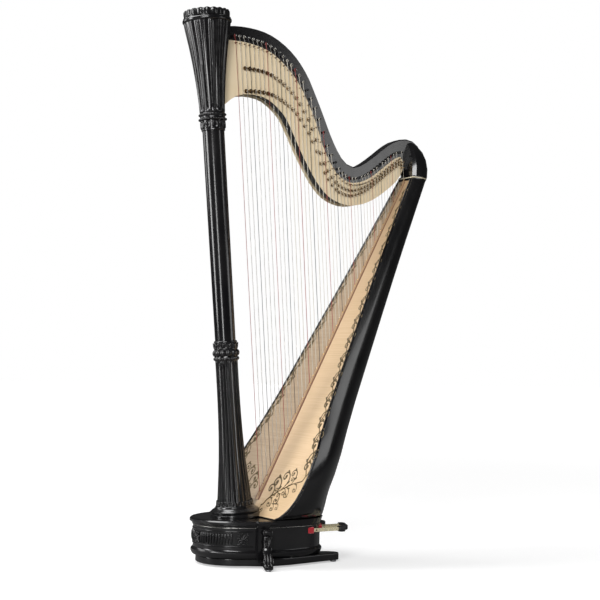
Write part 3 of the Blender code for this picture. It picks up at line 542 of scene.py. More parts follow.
def black_lacquer():
    """Piano-black lacquer: deep gloss with faint waves and rubbing marks."""
    made = Finish("ebonised_lacquer", IOR=1.5, Coat_Weight=0.2, Coat_Roughness=0.07)
    cloud = made.noise(7, 3)
    rubbing = made.noise(60, 2, (1, 1, 0.25))
    made.feed(
        Base_Color=made.mixed(made.levels(cloud, 0.35, 0.7), (0.0035, 0.0035, 0.0042), (0.0085, 0.0080, 0.0085)),
        Roughness=made.levels(cloud * 0.6 + rubbing * 0.4, 0.3, 0.7, 0.15, 0.22),
    )
    return made.raised(made.noise(24, 1) * 0.7 + made.noise(320, 2) * 0.05, 0.00005)


def carved_lacquer():
    """The lacquer on carving: a little duller, in random patches."""
    made = Finish("carved_lacquer", IOR=1.5, Coat_Weight=0.15, Coat_Roughness=0.12)
    cloud = made.noise(45, 3)
    made.feed(
        Base_Color=made.mixed(made.levels(cloud, 0.35, 0.7), (0.0045, 0.0045, 0.0050), (0.011, 0.0105, 0.011)),
        Roughness=made.levels(cloud, 0.3, 0.7, 0.13, 0.22),
    )
    return made.raised(made.noise(160, 2), 0.00002)


def spruce():
    """Close upright grain across the board; the near half painted lighter and the far half painted darker, a painted
    difference of sheen, with painted shade darkening the top.
    """
    made = Finish("varnished_spruce", IOR=1.46, Coat_Weight=0.25, Coat_Roughness=0.15)
    rise = made.along((0.4627, 0.0, 0.8865))
    across = made.axis("Y")
    grain_place = made.node("ShaderNodeCombineXYZ", {}, {0: rise * 420, 1: across * 5, 2: 0.0})
    grain = made.node("ShaderNodeTexNoise", {}, {"Vector": grain_place, "Scale": 1.0, "Detail": 3.0})
    broad_place = made.node("ShaderNodeCombineXYZ", {}, {0: rise * 16, 1: across * 3, 2: 4.0})
    broad = made.node("ShaderNodeTexNoise", {}, {"Vector": broad_place, "Scale": 1.0, "Detail": 2.0})
    # Painted sheen: light is the near half's wood and dark the far half's, one spruce in a lit and a shaded copy.
    light = made.mixed(made.levels(grain, 0.35, 0.68), (0.66, 0.485, 0.30), (0.575, 0.405, 0.24))
    dark = made.mixed(made.levels(grain, 0.35, 0.68), (0.36, 0.27, 0.18), (0.27, 0.195, 0.125))
    tinted = made.mixed(made.levels(broad, 0.3, 0.75, 0.0, 0.25), light, (0.53, 0.36, 0.20))
    # Painted shade: the board painted darker towards its top.
    top_shaded = made.mixed(made.levels(made.axis("Z"), 0.75, 1.35, 0.0, 0.6), tinted, (0.34, 0.22, 0.12))
    made.feed(
        # The far half, past the rib, takes the painted-darker copy.
        Base_Color=made.mixed(made.levels(across, -0.006, 0.006), top_shaded, dark),
        Roughness=made.levels(grain, 0.3, 0.7, 0.30, 0.42),
    )
    return made.raised(grain, 0.00006)


def maple_rib(name="maple_rib"):
    """The string rib: the board's colour with a dark line down each side."""
    made = Finish(name, IOR=1.46, Coat_Weight=0.3, Coat_Roughness=0.12)
    across = made.node("ShaderNodeMath", {"operation": "ABSOLUTE"}, {0: made.axis("Y")})
    grain = made.noise(30, 3, (1, 12, 1))
    wood = made.mixed(made.levels(grain, 0.3, 0.7), (0.46, 0.31, 0.18), (0.34, 0.215, 0.12))
    made.feed(
        Base_Color=made.mixed(across > 0.0072, wood, (0.16, 0.060, 0.030)),
        Roughness=made.levels(grain, 0.3, 0.7, 0.30, 0.42),
    )
    return made.raised(grain, 0.00005)


def pale_gold(name="pale_gold_plate"):
    """Satin gilt brass, brushed upright, with a faint bloom."""
    made = Finish(name, Metallic=0.25, IOR=1.5)
    brushed = made.noise(50, 3, (9, 9, 0.35))
    bloom = made.noise(9, 3)
    tone = made.mixed(made.levels(bloom, 0.3, 0.7), (0.86, 0.72, 0.50), (0.80, 0.65, 0.42))
    made.feed(
        Base_Color=tone,
        Roughness=made.levels(brushed * 0.6 + bloom * 0.4, 0.3, 0.7, 0.34, 0.48),
    )
    return made.raised(brushed, 0.00003)


def nickelled():
    """Nickelled steel with a painted reflection: the bass pins painted bright and the thinner strings' pins painted
    dark.
    """
    made = Finish("nickelled_pin", Metallic=1.0)
    wear = made.noise(90, 3)
    # Painted reflection: the bass pins painted bright steel, fading to a dark grey with a little wear toward the
    # treble.
    painted_shine_fade = made.levels(made.axis("X"), -0.20, 0.0)
    dark_reflection_and_wear = made.mixed(made.levels(wear, 0.35, 0.7), (0.15, 0.15, 0.15), (0.09, 0.09, 0.09))
    made.feed(
        Base_Color=made.mixed(painted_shine_fade, (0.78, 0.77, 0.74), dark_reflection_and_wear),
        Roughness=made.levels(wear, 0.3, 0.7, 0.14, 0.26),
    )
    return made.raised(made.noise(400, 2), 0.00002)


def brass(name, light, dark, rough=(0.18, 0.34), metal=1.0):
    """Polished brass with a thin tarnish."""
    made = Finish(name, Metallic=metal)
    tarnish = made.noise(90, 3)
    made.feed(
        Base_Color=made.mixed(made.levels(tarnish, 0.35, 0.7), light, dark),
        Roughness=made.levels(tarnish, 0.3, 0.7, *rough),
    )
    return made.raised(made.noise(400, 2), 0.00002)


def steel(name="drawn_steel"):
    made = Finish(name, Metallic=1.0)
    drawn = made.noise(120, 2, (1, 1, 0.1))
    made.feed(
        Base_Color=made.mixed(made.levels(drawn, 0.3, 0.7), (0.70, 0.70, 0.72), (0.52, 0.52, 0.55)),
        Roughness=made.levels(drawn, 0.3, 0.7, 0.20, 0.34),
    )
    return made.raised(drawn, 0.00002)


def string_colour(name, light, dark, wound=False, rough=(0.28, 0.42)):
    """Gut or nylon, or a wire wound round its core."""
    made = Finish(name, Metallic=0.9 if wound else 0.0, IOR=1.5)
    cloud = made.noise(140, 2, (1, 1, 0.2))
    made.feed(
        Base_Color=made.mixed(made.levels(cloud, 0.3, 0.7), light, dark),
        Roughness=made.levels(cloud, 0.3, 0.7, *rough),
    )
    if not wound:
        return made.raised(cloud, 0.00002)
    turns = made.node("ShaderNodeMath", {"operation": "SINE"}, {0: made.axis("Z") * 9000})
    return made.raised(turns, 0.00008)


def felt():
    made = Finish("red_felt", Roughness=0.95, Sheen_Weight=0.5, Sheen_Roughness=0.5)
    fibre = made.noise(900, 3)
    made.feed(Base_Color=made.mixed(made.levels(fibre, 0.3, 0.7), (0.62, 0.008, 0.022), (0.36, 0.005, 0.014)))
    return made.raised(fibre + made.noise(160, 2), 0.0004)


def rubber():
    made = Finish("black_rubber", IOR=1.5)
    grain = made.noise(500, 2)
    made.feed(
        Base_Color=made.mixed(made.levels(grain, 0.3, 0.7), (0.012, 0.012, 0.013), (0.022, 0.021, 0.021)),
        Roughness=made.levels(grain, 0.3, 0.7, 0.42, 0.60),
    )
    return made.raised(grain, 0.00012)


def cast_iron():
    made = Finish("cast_iron", Metallic=0.6)
    grain = made.noise(260, 4)
    made.feed(
        Base_Color=made.mixed(made.levels(grain, 0.3, 0.7), (0.05, 0.05, 0.052), (0.09, 0.085, 0.08)),
        Roughness=made.levels(grain, 0.3, 0.7, 0.5, 0.7),
    )
    return made.raised(grain, 0.0004)


def ivory():
    made = Finish("ivory_line", IOR=1.5, Coat_Weight=0.2, Coat_Roughness=0.1)
    vein = made.noise(40, 3, (1, 1, 4))
    made.feed(
        Base_Color=made.mixed(made.levels(vein, 0.35, 0.7), (0.72, 0.66, 0.50), (0.56, 0.49, 0.34)),
        Roughness=made.levels(vein, 0.3, 0.7, 0.25, 0.38),
    )
    return made.raised(vein, 0.00003)


def old_gilt():
    """The soundboard's gilt scrolls, worn to an olive brown."""
    made = Finish("old_gilt", Metallic=0.35)
    wear = made.noise(220, 3)
    made.feed(
        Base_Color=made.mixed(made.levels(wear, 0.35, 0.65), (0.15, 0.105, 0.042), (0.060, 0.042, 0.020)),
        Roughness=made.levels(wear, 0.3, 0.7, 0.36, 0.55),
    )
    return made.raised(wear, 0.00006)


def pale_floor():
    """A pale floor that brightens into the white room away from the harp."""
    made = Finish("pale_floor", Roughness=0.7, Emission_Strength=1.0)
    cloud = made.noise(3, 2)
    distance = made.node("ShaderNodeVectorMath", {"operation": "LENGTH"}, {0: made.place}, out=1)
    seen = made.node("ShaderNodeLightPath")
    glow = made.levels(distance, 1.0, 8.0, 0.47, 0.90) * seen
    made.feed(
        Base_Color=made.mixed(seen, (0.16, 0.16, 0.16), made.mixed(cloud, (0.63, 0.63, 0.63), (0.61, 0.61, 0.61))),
        Emission_Color=made.mixed(glow, (0.0, 0.0, 0.0), (1.0, 1.0, 1.0)),
    )
    return made


lacquer = black_lacquer()
carving = carved_lacquer()
board_wood = spruce()
rib_wood = maple_rib()
gold_plate = pale_gold()
bright_brass = brass("bright_brass", (0.86, 0.66, 0.34), (0.62, 0.44, 0.20))
# Painted shade: a near-black brass for the moving discs and all disc rims and prongs, dark as their shadow; the bridge
# pins and pedal screws share it.
dark_brass = brass("painted_shade_brass", (0.20, 0.13, 0.065), (0.09, 0.055, 0.03), (0.22, 0.36))
pedal_brass = brass("pedal_brass", (0.94, 0.86, 0.60), (0.82, 0.72, 0.46), (0.22, 0.36), 0.45)
bare_steel = steel()
pin_steel = nickelled()
red_felt = felt()
black_rubber = rubber()
iron = cast_iron()
bone = ivory()
gilt = old_gilt()
disc_gold = brass("disc_gold", (0.84, 0.66, 0.38), (0.62, 0.45, 0.22), (0.26, 0.40))
strip_wood = maple_rib("strip_wood")
# Painted highlight: a pale grey metal bead at the base's top joint, standing for the thin light line the lacquer's edge
# reflects there.
seam_highlight_finish = brass("seam_highlight_bead", (0.42, 0.41, 0.39), (0.30, 0.29, 0.28), (0.25, 0.35))
string_finishes = {
    "wire": string_colour("wound_wire", (0.55, 0.53, 0.49), (0.38, 0.36, 0.33), True, (0.3, 0.45)),
    "red_gut": string_colour("red_gut", (0.36, 0.045, 0.040), (0.22, 0.028, 0.026)),
    "black_gut": string_colour("black_gut", (0.020, 0.022, 0.028), (0.012, 0.013, 0.016)),
    "pale_gut": string_colour("pale_gut", (0.60, 0.57, 0.50), (0.50, 0.46, 0.39)),
}


# Frame nodes

finish_of_slot = {
    "ebonised_wood": lacquer, "red_felt": red_felt, "steel": bare_steel, "cast_iron": iron,
    "brass": bright_brass, "rubber": black_rubber, "spruce": board_wood, "maple": rib_wood,
    "ivory_line": bone, "pale_gold_plate": gold_plate,
}


def dress_frame():
    for name, node in nodes.items():
        node.data.materials.clear()
        node.data.materials.append(finish_of_slot[slot_of[name]].material)
    for letter in ("D", "C", "B", "E", "F", "G", "A"):
        nodes["pedal_" + letter].data.materials[0] = pedal_brass.material


def smoothed(name, ease=0.0008, angle=35, finish=None):
    """A copy of a frame node, its points merged and its edges eased, which stands for the node."""
    node = nodes[name]
    piece = node.copy()
    piece.data = node.data.copy()
    piece.parent = None
    for key in list(piece.keys()):
        del piece[key]
    bpy.context.scene.collection.objects.link(piece)
    piece.matrix_world = Matrix.Identity(4)
    take(piece)
    bpy.ops.mesh.customdata_custom_splitnormals_clear()
    with shaping(piece):
        bpy.ops.mesh.select_all(action="SELECT")
        bpy.ops.mesh.remove_doubles(threshold=1e-5)
        bpy.ops.mesh.dissolve_limited(angle_limit=math.radians(0.3))
    if ease:
        eased(piece, ease)
    finish = finish or finish_of_slot[slot_of[name]]
    finished(piece, name + "_finished", finish, body_of[name], angle)
    modified(piece, "WEIGHTED_NORMAL", keep_sharp=True, weight=50)
    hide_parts(name)
    return piece


# Stage

def camera():
    clear_selection()
    bpy.ops.object.camera_add()
    made = bpy.context.object
    made.name = "viewpoint"
    made.matrix_world = Matrix((
        (0.84882, -0.04356, -0.52688, -2.4078),
        (-0.52826, -0.03028, -0.84854, -3.8237),
        (0.02101, 0.99859, -0.04871, 0.6758),
        (0.0, 0.0, 0.0, 1.0),
    ))
    made.data.sensor_width = 36.0
    made.data.lens = 1286.952 / 600 * 36.0
    made.data.clip_end = 60.0
    bpy.context.scene.camera = made


def softbox(name, place, aim, width, height, power, colour=(1.0, 1.0, 1.0)):
    clear_selection()
    bpy.ops.object.light_add(type="AREA", location=place)
    made = bpy.context.object
    made.name = name
    made.data.shape = "RECTANGLE"
    made.data.size = width
    made.data.size_y = height
    made.data.energy = power
    made.data.color = colour
    made.rotation_euler = (Vector(aim) - Vector(place)).to_track_quat("-Z", "Y").to_euler()


def studio():
    """A pale floor in a white room, with soft boxes round the harp."""
    floor = start_from("plane", size=60)
    floor.name = floor.data.name = "floor"
    floor.data.materials.append(pale_floor().material)
    softbox("key_box", (-2.9, -3.3, 3.5), (0, 0, 1.0), 2.0, 2.0, 175)
    softbox("left_box", (-3.5, 1.0, 1.8), (-0.3, 0, 1.1), 0.9, 2.8, 80)
    softbox("front_box", (-2.9, -2.6, 0.8), (-0.3, 0, 1.3), 0.5, 1.5, 26)
    softbox("neck_box", (2.95, -3.95, 2.45), (0.3, 0, 1.6), 0.9, 1.4, 12)
    softbox("shell_box", (3.55, -2.9, 1.15), (0.2, 0, 0.9), 1.9, 1.0, 15)
    softbox("top_box", (-1.4, 1.2, 4.6), (0, 0, 0.5), 2.2, 2.2, 110)
    softbox("back_box", (-2.6, 3.4, 2.6), (0, 0, 1.0), 1.4, 2.6, 30)
    world = bpy.data.worlds.new("white_room")
    bpy.context.scene.world = world
    world.use_nodes = True
    tree = world.node_tree
    output = tree.nodes["World Output"]
    seen = tree.nodes.new("ShaderNodeLightPath")
    shown = tree.nodes["Background"]
    shown.inputs["Color"].default_value = (0.30, 0.30, 0.30, 1)
    for ray, level in (("Is Glossy Ray", 0.04), ("Is Camera Ray", 1.0)):
        other = tree.nodes.new("ShaderNodeBackground")
        other.inputs["Color"].default_value = (level, level, level, 1)
        choice = tree.nodes.new("ShaderNodeMixShader")
        tree.links.new(seen.outputs[ray], choice.inputs[0])
        tree.links.new(shown.outputs[0], choice.inputs[1])
        tree.links.new(other.outputs[0], choice.inputs[2])
        shown = choice
    tree.links.new(shown.outputs[0], output.inputs[0])
    bpy.context.scene.view_settings.view_transform = "Standard"


camera()
studio()
dress_frame()
for lacquered, ease in (
    ("soundbox_shell", 0.0008), ("neck", 0.0040), ("base_floor", 0.0030), ("base_shell", 0.0008), ("base_top", 0.0008),
    ("column_shaft", 0.0008), ("corner_foot_left", 0.0015), ("corner_foot_right", 0.0015),
):
    smoothed(lacquered, ease)


# Column

def column_foot():
    """The fluted foot of the column on its rings, cut flat where the soundboard passes."""
    flutes = fluted(stood_flutes((
        (0.1890, 0.0590, 0), (0.1950, 0.0600, 0.3), (0.2010, 0.0600, 0.9), (0.2150, 0.0586, 1), (0.2550, 0.0547, 1),
        (0.3150, 0.0489, 1), (0.3850, 0.0438, 1), (0.4850, 0.0401, 1), (0.5850, 0.0388, 1), (0.6650, 0.0388, 1),
        (0.6760, 0.0390, 0.8), (0.6840, 0.0386, 0),
    ), seat_height), 24, 0.0044)
    rings = turned((
        (0.0, 0.0835), (0.009, 0.0840), (0.012, 0.0835), (0.0145, 0.0800), (0.0155, 0.0780), (0.0170, 0.0790),
        (0.0200, 0.0815), (0.0230, 0.0815), (0.0260, 0.0780), (0.0280, 0.0735), (0.0320, 0.0690), (0.0345, 0.0665),
        (0.0370, 0.0655), (0.0395, 0.0635), (0.0405, 0.0600), (0.043, 0.050),
    ), 72)
    tongues = round_column(leaf(0.0155, 0.0190, 0.0062, 0.60, 0.2), seat_height + 0.0375, 0.0602, 24, -0.05)
    foot = joined([on_column(flutes, seat_height), on_column(rings, seat_height), tongues])
    out = Vector((-0.8865, 0, 0.4627))
    face = Vector((board_foot_x + board_slope * 0.5, 0, 0.5))
    with shaping(foot):
        for spot, direction in ((face + out * 0.0006, -out), (Vector((0, 0, seat_height)), (0, 0, -1))):
            bpy.ops.mesh.select_all(action="SELECT")
            bpy.ops.mesh.bisect(plane_co=spot, plane_no=direction, use_fill=True, clear_outer=True)
    finished(foot, "fluted_foot", carving, angle=40)
    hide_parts("column_foot")


def column_collar():
    """Leaves over a ring of large beads over a ring of pearls."""
    core = turned(stood((
        (0.6775, 0.0388), (0.680, 0.0402), (0.689, 0.0402), (0.691, 0.0385), (0.695, 0.0380), (0.713, 0.0380),
        (0.716, 0.0392), (0.719, 0.0398), (0.722, 0.0385), (0.738, 0.0382), (0.740, 0.0392), (0.743, 0.0392),
        (0.745, 0.0372),
    ), shaft_foot_height), 64)
    pieces = [
        on_column(core, shaft_foot_height),
        round_column(bead(0.0228, 0.0240, 0.0105), 0.7038, 0.0368, 12, first=0.5),
        round_column(bead(0.0102, 0.0125, 0.0052), 0.6850, 0.0388, 24),
        round_column(leaf(0.0205, 0.0215, 0.0062, 0.30, 0.35), 0.7180, 0.0375, 12, 0.17),
        round_column(leaf(0.0130, 0.0180, 0.0045, 0.30, 0.35), 0.7180, 0.0368, 12, 0.12, 0.5),
    ]
    collar = finished(joined(pieces), "column_collar_carved", carving, angle=50)
    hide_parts("column_collar")


def capital():
    """The fluted bell of the capital, its rim, and below it beaded rings over a band of tongues."""
    bell = fluted(stood_flutes((
        (1.5090, 0.0425, 0), (1.5140, 0.0440, 0.2), (1.5200, 0.0446, 0.85), (1.5350, 0.0454, 1), (1.5750, 0.0482, 1),
        (1.6300, 0.0535, 1), (1.6900, 0.0611, 1), (1.7450, 0.0698, 1), (1.7850, 0.0776, 1), (1.8050, 0.0810, 1),
        (1.8120, 0.0816, 0.8), (1.8160, 0.0806, 0),
    ), capital_foot_height), capital_flutes, 0.0056)
    core = turned(stood((
        (1.4504, 0.0388), (1.4520, 0.0404), (1.4550, 0.0404), (1.4570, 0.0388), (1.4840, 0.0405), (1.4850, 0.0440),
        (1.4870, 0.0462), (1.4900, 0.0462), (1.4920, 0.0440), (1.4950, 0.0425), (1.4990, 0.0425), (1.5010, 0.0440),
        (1.5040, 0.0455), (1.5070, 0.0450), (1.5090, 0.0435), (1.5120, 0.0400),
    ), capital_foot_height), 72)
    rim = turned(stood((
        (1.8120, 0.0770), (1.8135, 0.0812), (1.8150, 0.0828), (1.8175, 0.0834), (1.8205, 0.0834), (1.8230, 0.0826),
        (1.8245, 0.0806), (1.8262, 0.0800), (1.8280, 0.0806), (1.8288, 0.0790),
    ), capital_foot_height), 96)
    pieces = [
        on_column(bell, capital_foot_height), on_column(core, capital_foot_height), on_column(rim, capital_foot_height),
        round_column(bead(0.0088, 0.0070, 0.0034), 1.4885, 0.0452, 32),
        round_column(bead(0.0086, 0.0060, 0.0030), 1.5040, 0.0446, 32),
        round_column(leaf(0.0245, 0.0290, 0.0062, 0.62, 0.35), 1.4560, 0.0392, 10, 0.03),
    ]
    made = finished(joined(pieces), "capital_carved", carving, angle=40)
    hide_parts("capital")


def crown():
    """A ring of upright lobes round a low dome."""
    top = fluted(stood_flutes((
        (1.8262, 0.0735, 0), (1.8285, 0.0742, 0.7), (1.8380, 0.0748, 1), (1.8470, 0.0750, 1), (1.8515, 0.0746, 1),
        (1.8538, 0.0728, 0.8), (1.8530, 0.0702, 0.4), (1.8490, 0.0688, 0), (1.8440, 0.0674, 0), (1.8450, 0.0640, 0),
        (1.8510, 0.0520, 0), (1.8555, 0.0350, 0), (1.8578, 0.0120, 0), (1.8585, 0.0030, 0),
    ), capital_top_height), capital_flutes, -0.0042, 1, (0.0175, 0.0036, 0.0695))
    made = on_column(top, capital_top_height)
    finished(made, "crown_carved", carving, angle=45)
    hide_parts("crown")


# Strings and action

def strings():
    """Each string from its eyelet past its bridge pin to its coils on the tuning pin."""
    colours = {"wire": [], "red_gut": [], "black_gut": [], "pale_gut": []}
    for index, (pin, bridge) in enumerate(zip(tuning_pins, bridge_pins)):
        radius = string_radius(index)
        foot = string_foot(index) - 0.001
        side = bridge_pin_radius + radius
        points = [(string_at(index, foot), 0, foot), (bridge.x - side, 0, bridge.y)]
        coil = tuning_pin_radius + radius
        steps = coil_turns * coil_sides
        for step in range(steps + 1):
            turn = math.pi - 2 * math.pi * step / coil_sides
            along = 2.2 * radius * step / coil_sides
            points.append((pin.x + coil * math.cos(turn), along, pin.y + coil * math.sin(turn)))
        kind = "pale_gut"
        if index % 7 == 0:
            kind = "red_gut"
        elif index % 7 == 3:
            kind = "black_gut"
        elif index < wire_strings:
            kind = "wire"
        colours[kind].append(tube(points, radius, 6))
    for kind, pieces in colours.items():
        finished(joined(pieces), "strings_" + kind, string_finishes[kind], angle=60)
    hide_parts("strings_and_tuning_pins")


def tuning_pins_and_eyelets():
    stem = turned((
        (0.0, 0.0022), (0.0004, 0.0029), (0.0010, 0.0031), (0.0045, 0.0031), (0.0050, 0.0028), (0.0075, 0.0028),
        (0.0080, 0.0032), (0.0640, 0.0030), (0.0660, 0.0026),
    ), 12)
    key_end = start_from("cube", size=1, location=(0, 0, 0.0725), scale=(0.0042, 0.0042, 0.0140))
    with shaping(key_end):
        pick(lambda middle, normal: normal.z > 0.9)
        bpy.ops.transform.resize(value=(0.8, 0.8, 1))
    pin = joined([stem, eased(key_end, 0.0004, 1)])
    pins = laid_out(pin, [
        facing(spot.x, -0.0050, spot.y) @ Matrix.Scale(-1, 4, (0, 0, 1)) for spot in tuning_pins
    ])
    finished(outward(pins), "tuning_pins", pin_steel, angle=40)

    eyelet = turned(((0.0, 0.0030), (0.0008, 0.0031), (0.0013, 0.0026), (0.0014, 0.0016), (0.0010, 0.0010)), 14)
    places = [on_board(string_foot(index), 0, proud=strip_proud) for index in range(string_count)]
    finished(laid_out(eyelet, places), "eyelets", bright_brass, angle=40)
    low, high = string_foot(0) - 0.015, string_foot(string_count - 1) + 0.003
    middle = on_board((low + high) / 2, 0, proud=strip_proud - 0.0006)
    length = (high - low) * math.hypot(1, board_slope)
    strip = slab((length, 0.0060, 0.0013), (0, 0, 0), 0.0004, 2)
    strip.data.transform(middle)
    finished(strip, "eyelet_strip", strip_wood, angle=40)


def disc_heights(index):
    """The heights of a string's natural and sharp discs, from the string's length."""
    bridge = bridge_pins[index].y
    length = bridge - string_foot(index)
    found = []
    level = bridge
    for semitones in (1, 2):
        drop = length * (2 ** ((1 - semitones) / 12) - 2 ** (-semitones / 12))
        level -= max(drop, least_disc_step)
        found.append(level)
    return found


def disc_face():
    """A disc of radius 1 seen from outside: a pan with the head of its spindle."""
    return turned((
        (0.0, 0.90), (0.0019, 0.90), (0.0020, 0.84), (0.0018, 0.42), (0.0026, 0.36), (0.0029, 0.28), (0.0029, 0.02),
    ), 20)


def disc_rim():
    """The raised rim of a disc of radius 1."""
    return turned(((0.0, 0.74), (0.0, 1.0), (0.0018, 1.0), (0.0027, 0.93), (0.0027, 0.80), (0.0016, 0.70)), 20)


def disc_prongs():
    prong = turned(((0.0, 0.0017), (0.0062, 0.0016), (0.0068, 0.0010), (0.0069, 0.0002)), 8)
    return laid_out(prong, [Matrix.Translation((side * prong_offset, 0, 0.0020)) for side in (-1, 1)])


def action():
    """The discs and their prongs, those of one octave on their own bodies, and the bridge pins."""
    fixed = []
    for index in range(first_disc_string, string_count):
        share = index / (string_count - 1)
        radius = 0.0078 + (0.0046 - 0.0078) * share
        for kind, z in zip(("natural", "sharp"), disc_heights(index)):
            spot = (string_at(index, z), disc_inner_y, z)
            if index >= first_disc_string + len(moving_octave):
                fixed.append((facing(*spot, radius), facing(*spot, turn=disc_slant)))
                continue
            name = f"{kind}_disc_{moving_octave[index - first_disc_string]}"
            face = laid_out(disc_face(), [facing(*spot, radius)])
            # The moving discs take the near-black brass of painted shade.
            finished(face, name + "_face", dark_brass, name, 35)
            trim = [laid_out(disc_rim(), [facing(*spot, radius)])]
            trim.append(laid_out(disc_prongs(), [facing(*spot, turn=disc_slant)]))
            finished(joined(trim), name + "_rim", dark_brass, name, 35)
            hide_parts(name)
    finished(laid_out(disc_face(), [place for place, _ in fixed]), "fixed_discs", disc_gold, angle=35)
    trim = [laid_out(disc_rim(), [place for place, _ in fixed])]
    trim.append(laid_out(disc_prongs(), [place for _, place in fixed]))
    finished(joined(trim), "fixed_disc_rims", dark_brass, angle=35)

    pin = turned((
        (0.0, 0.0030), (0.0012, 0.0030), (0.0018, 0.0023), (0.0070, 0.0021), (0.0080, bridge_pin_radius),
        (0.0096, bridge_pin_radius), (0.0106, 0.0022), (0.0122, 0.0022), (0.0128, 0.0016), (0.0129, 0.0004),
    ), 12)
    places = [facing(spot.x, plate_face_y, spot.y) for spot in bridge_pins]
    finished(laid_out(pin, places), "bridge_pins", dark_brass, angle=35)


# Base

def base_trim():
    """A fine bead along the joint of the top board, painted pale grey metal as a painted highlight line, and the carved
    frieze round the front.
    """
    steps = 160
    circuit = [wall_point(2 * math.pi * step / steps, 0.0009) for step in range(steps)]
    line = tube([(spot.x, spot.y, wall_top_height + 0.0002) for spot in circuit], 0.0014, 8, ring=True)
    finished(line, "joint_bead", seam_highlight_finish, angle=60)

    pieces = []
    low, high = 0.0745, 0.1160
    middle = (low + high) / 2
    reed = bead(0.0080, high - low, 0.0062, 12)
    places = []
    for side in (1, -1):
        for angle in along_wall(188.0, 0.0100, 12):
            place = on_wall(angle, middle, -0.0004)
            places.append(place if side > 0 else Matrix.Scale(-1, 4, (0, 1, 0)) @ place)
    pieces.append(outward(laid_out(reed, places)))
    for level in (low - 0.0035, high + 0.0035):
        edge = [wall_point(math.radians(118 + 124 * step / 90), 0.0003) for step in range(91)]
        pieces.append(tube([(spot.x, spot.y, level) for spot in edge], 0.0019, 8))
    petals = leaf(0.0115, 0.0165, 0.0100, 0.62, 0.3)
    flowers = [on_wall(math.radians(angle), middle) for angle in (180, 126.5, 233.5)]
    turns = [Matrix.Rotation(2 * math.pi * step / 8, 4, "X") for step in range(8)]
    inner = Matrix.Translation((0.0006, 0, 0.0032))
    pieces.append(laid_out(petals, [flower @ turn @ inner for flower in flowers for turn in turns]))
    pieces.append(laid_out(bead(0.0100, 0.0100, 0.0090), flowers))
    sprig = leaf(0.0085, 0.0135, 0.0075, 0.35, 0.3)
    corners = [
        Matrix.Rotation(math.pi / 4 + math.pi / 2 * step, 4, "X") @ Matrix.Translation((0.0004, 0, 0.0130))
        for step in range(4)
    ]
    pieces.append(laid_out(sprig, [flower @ corner for flower in flowers for corner in corners]))
    finished(joined(pieces), "base_frieze", carving, angle=50)


def spiral(size, turns=1.6, steps=40, waist=0.16):
    """Points of a flat spiral round the origin, from its rim to its eye, across X and Z."""
    found = []
    for step in range(steps + 1):
        share = step / steps
        angle = 2 * math.pi * turns * share
        radius = size * ((1 - share) + waist * share)
        found.append((radius * math.cos(angle), 0.0, radius * math.sin(angle)))
    return found


def console_carving():
    """Volutes on both flanks of each console, leaves down its face and claws at its toe."""
    pieces = []
    for side in (-1, 1):
        for across in (-1, 1):
            for out, z, size in ((0.009, 0.1175, 0.0088), (0.050, 0.0275, 0.0150)):
                scroll = tube(spiral(size), size * 0.13, 8)
                eye = bead(size * 0.5, size * 0.5, size * 0.22)
                eye.data.transform(Matrix.Rotation(math.radians(90) * across, 4, "Z"))
                flank = on_console(side, out, z, across * (console_half + 0.0003))
                pieces += [laid_out(model, [flank]) for model in (scroll, eye)]
        face = leaf(0.0230, 0.0360, 0.0085, 0.42, 0.35)
        down = Matrix.Rotation(math.pi, 4, "X")
        tilts = ((0.0125, 0.1080, 0.10), (0.0100, 0.0850, 0.02), (0.0120, 0.0660, -0.45))
        pieces.append(laid_out(face, [
            on_console(side, out, z) @ down @ Matrix.Rotation(tilt, 4, "Y") for out, z, tilt in tilts
        ]))
        rib = bead(0.0040, 0.0950, 0.0040, 12)
        pieces.append(laid_out(rib, [on_console(side, 0.0145, 0.0800)]))
        slope = ((0.0300, 0.0470), (0.0420, 0.0385), (0.0530, 0.0300), (0.0620, 0.0215), (0.0655, 0.0140), (0.0640, 0.0085))
        claw = tube([(out, 0.0, z) for out, z in slope], 0.0056, 10)
        pieces.append(laid_out(claw, [
            on_console(side, 0.0, 0.0, across) for across in (-0.0094, 0.0, 0.0094)
        ]))
    finished(joined(pieces), "console_carving", carving, angle=50)


def floor_screws():
    head = turned(((0.0, 0.0042), (0.0010, 0.0042), (0.0019, 0.0030), (0.0021, 0.0012), (0.0015, 0.0010)), 16)
    places = [Matrix.Translation((-0.150, side * 0.1655, 0.0318)) for side in (-1, 1)]
    finished(laid_out(head, places), "floor_screws", pin_steel, angle=35)


# Pedals

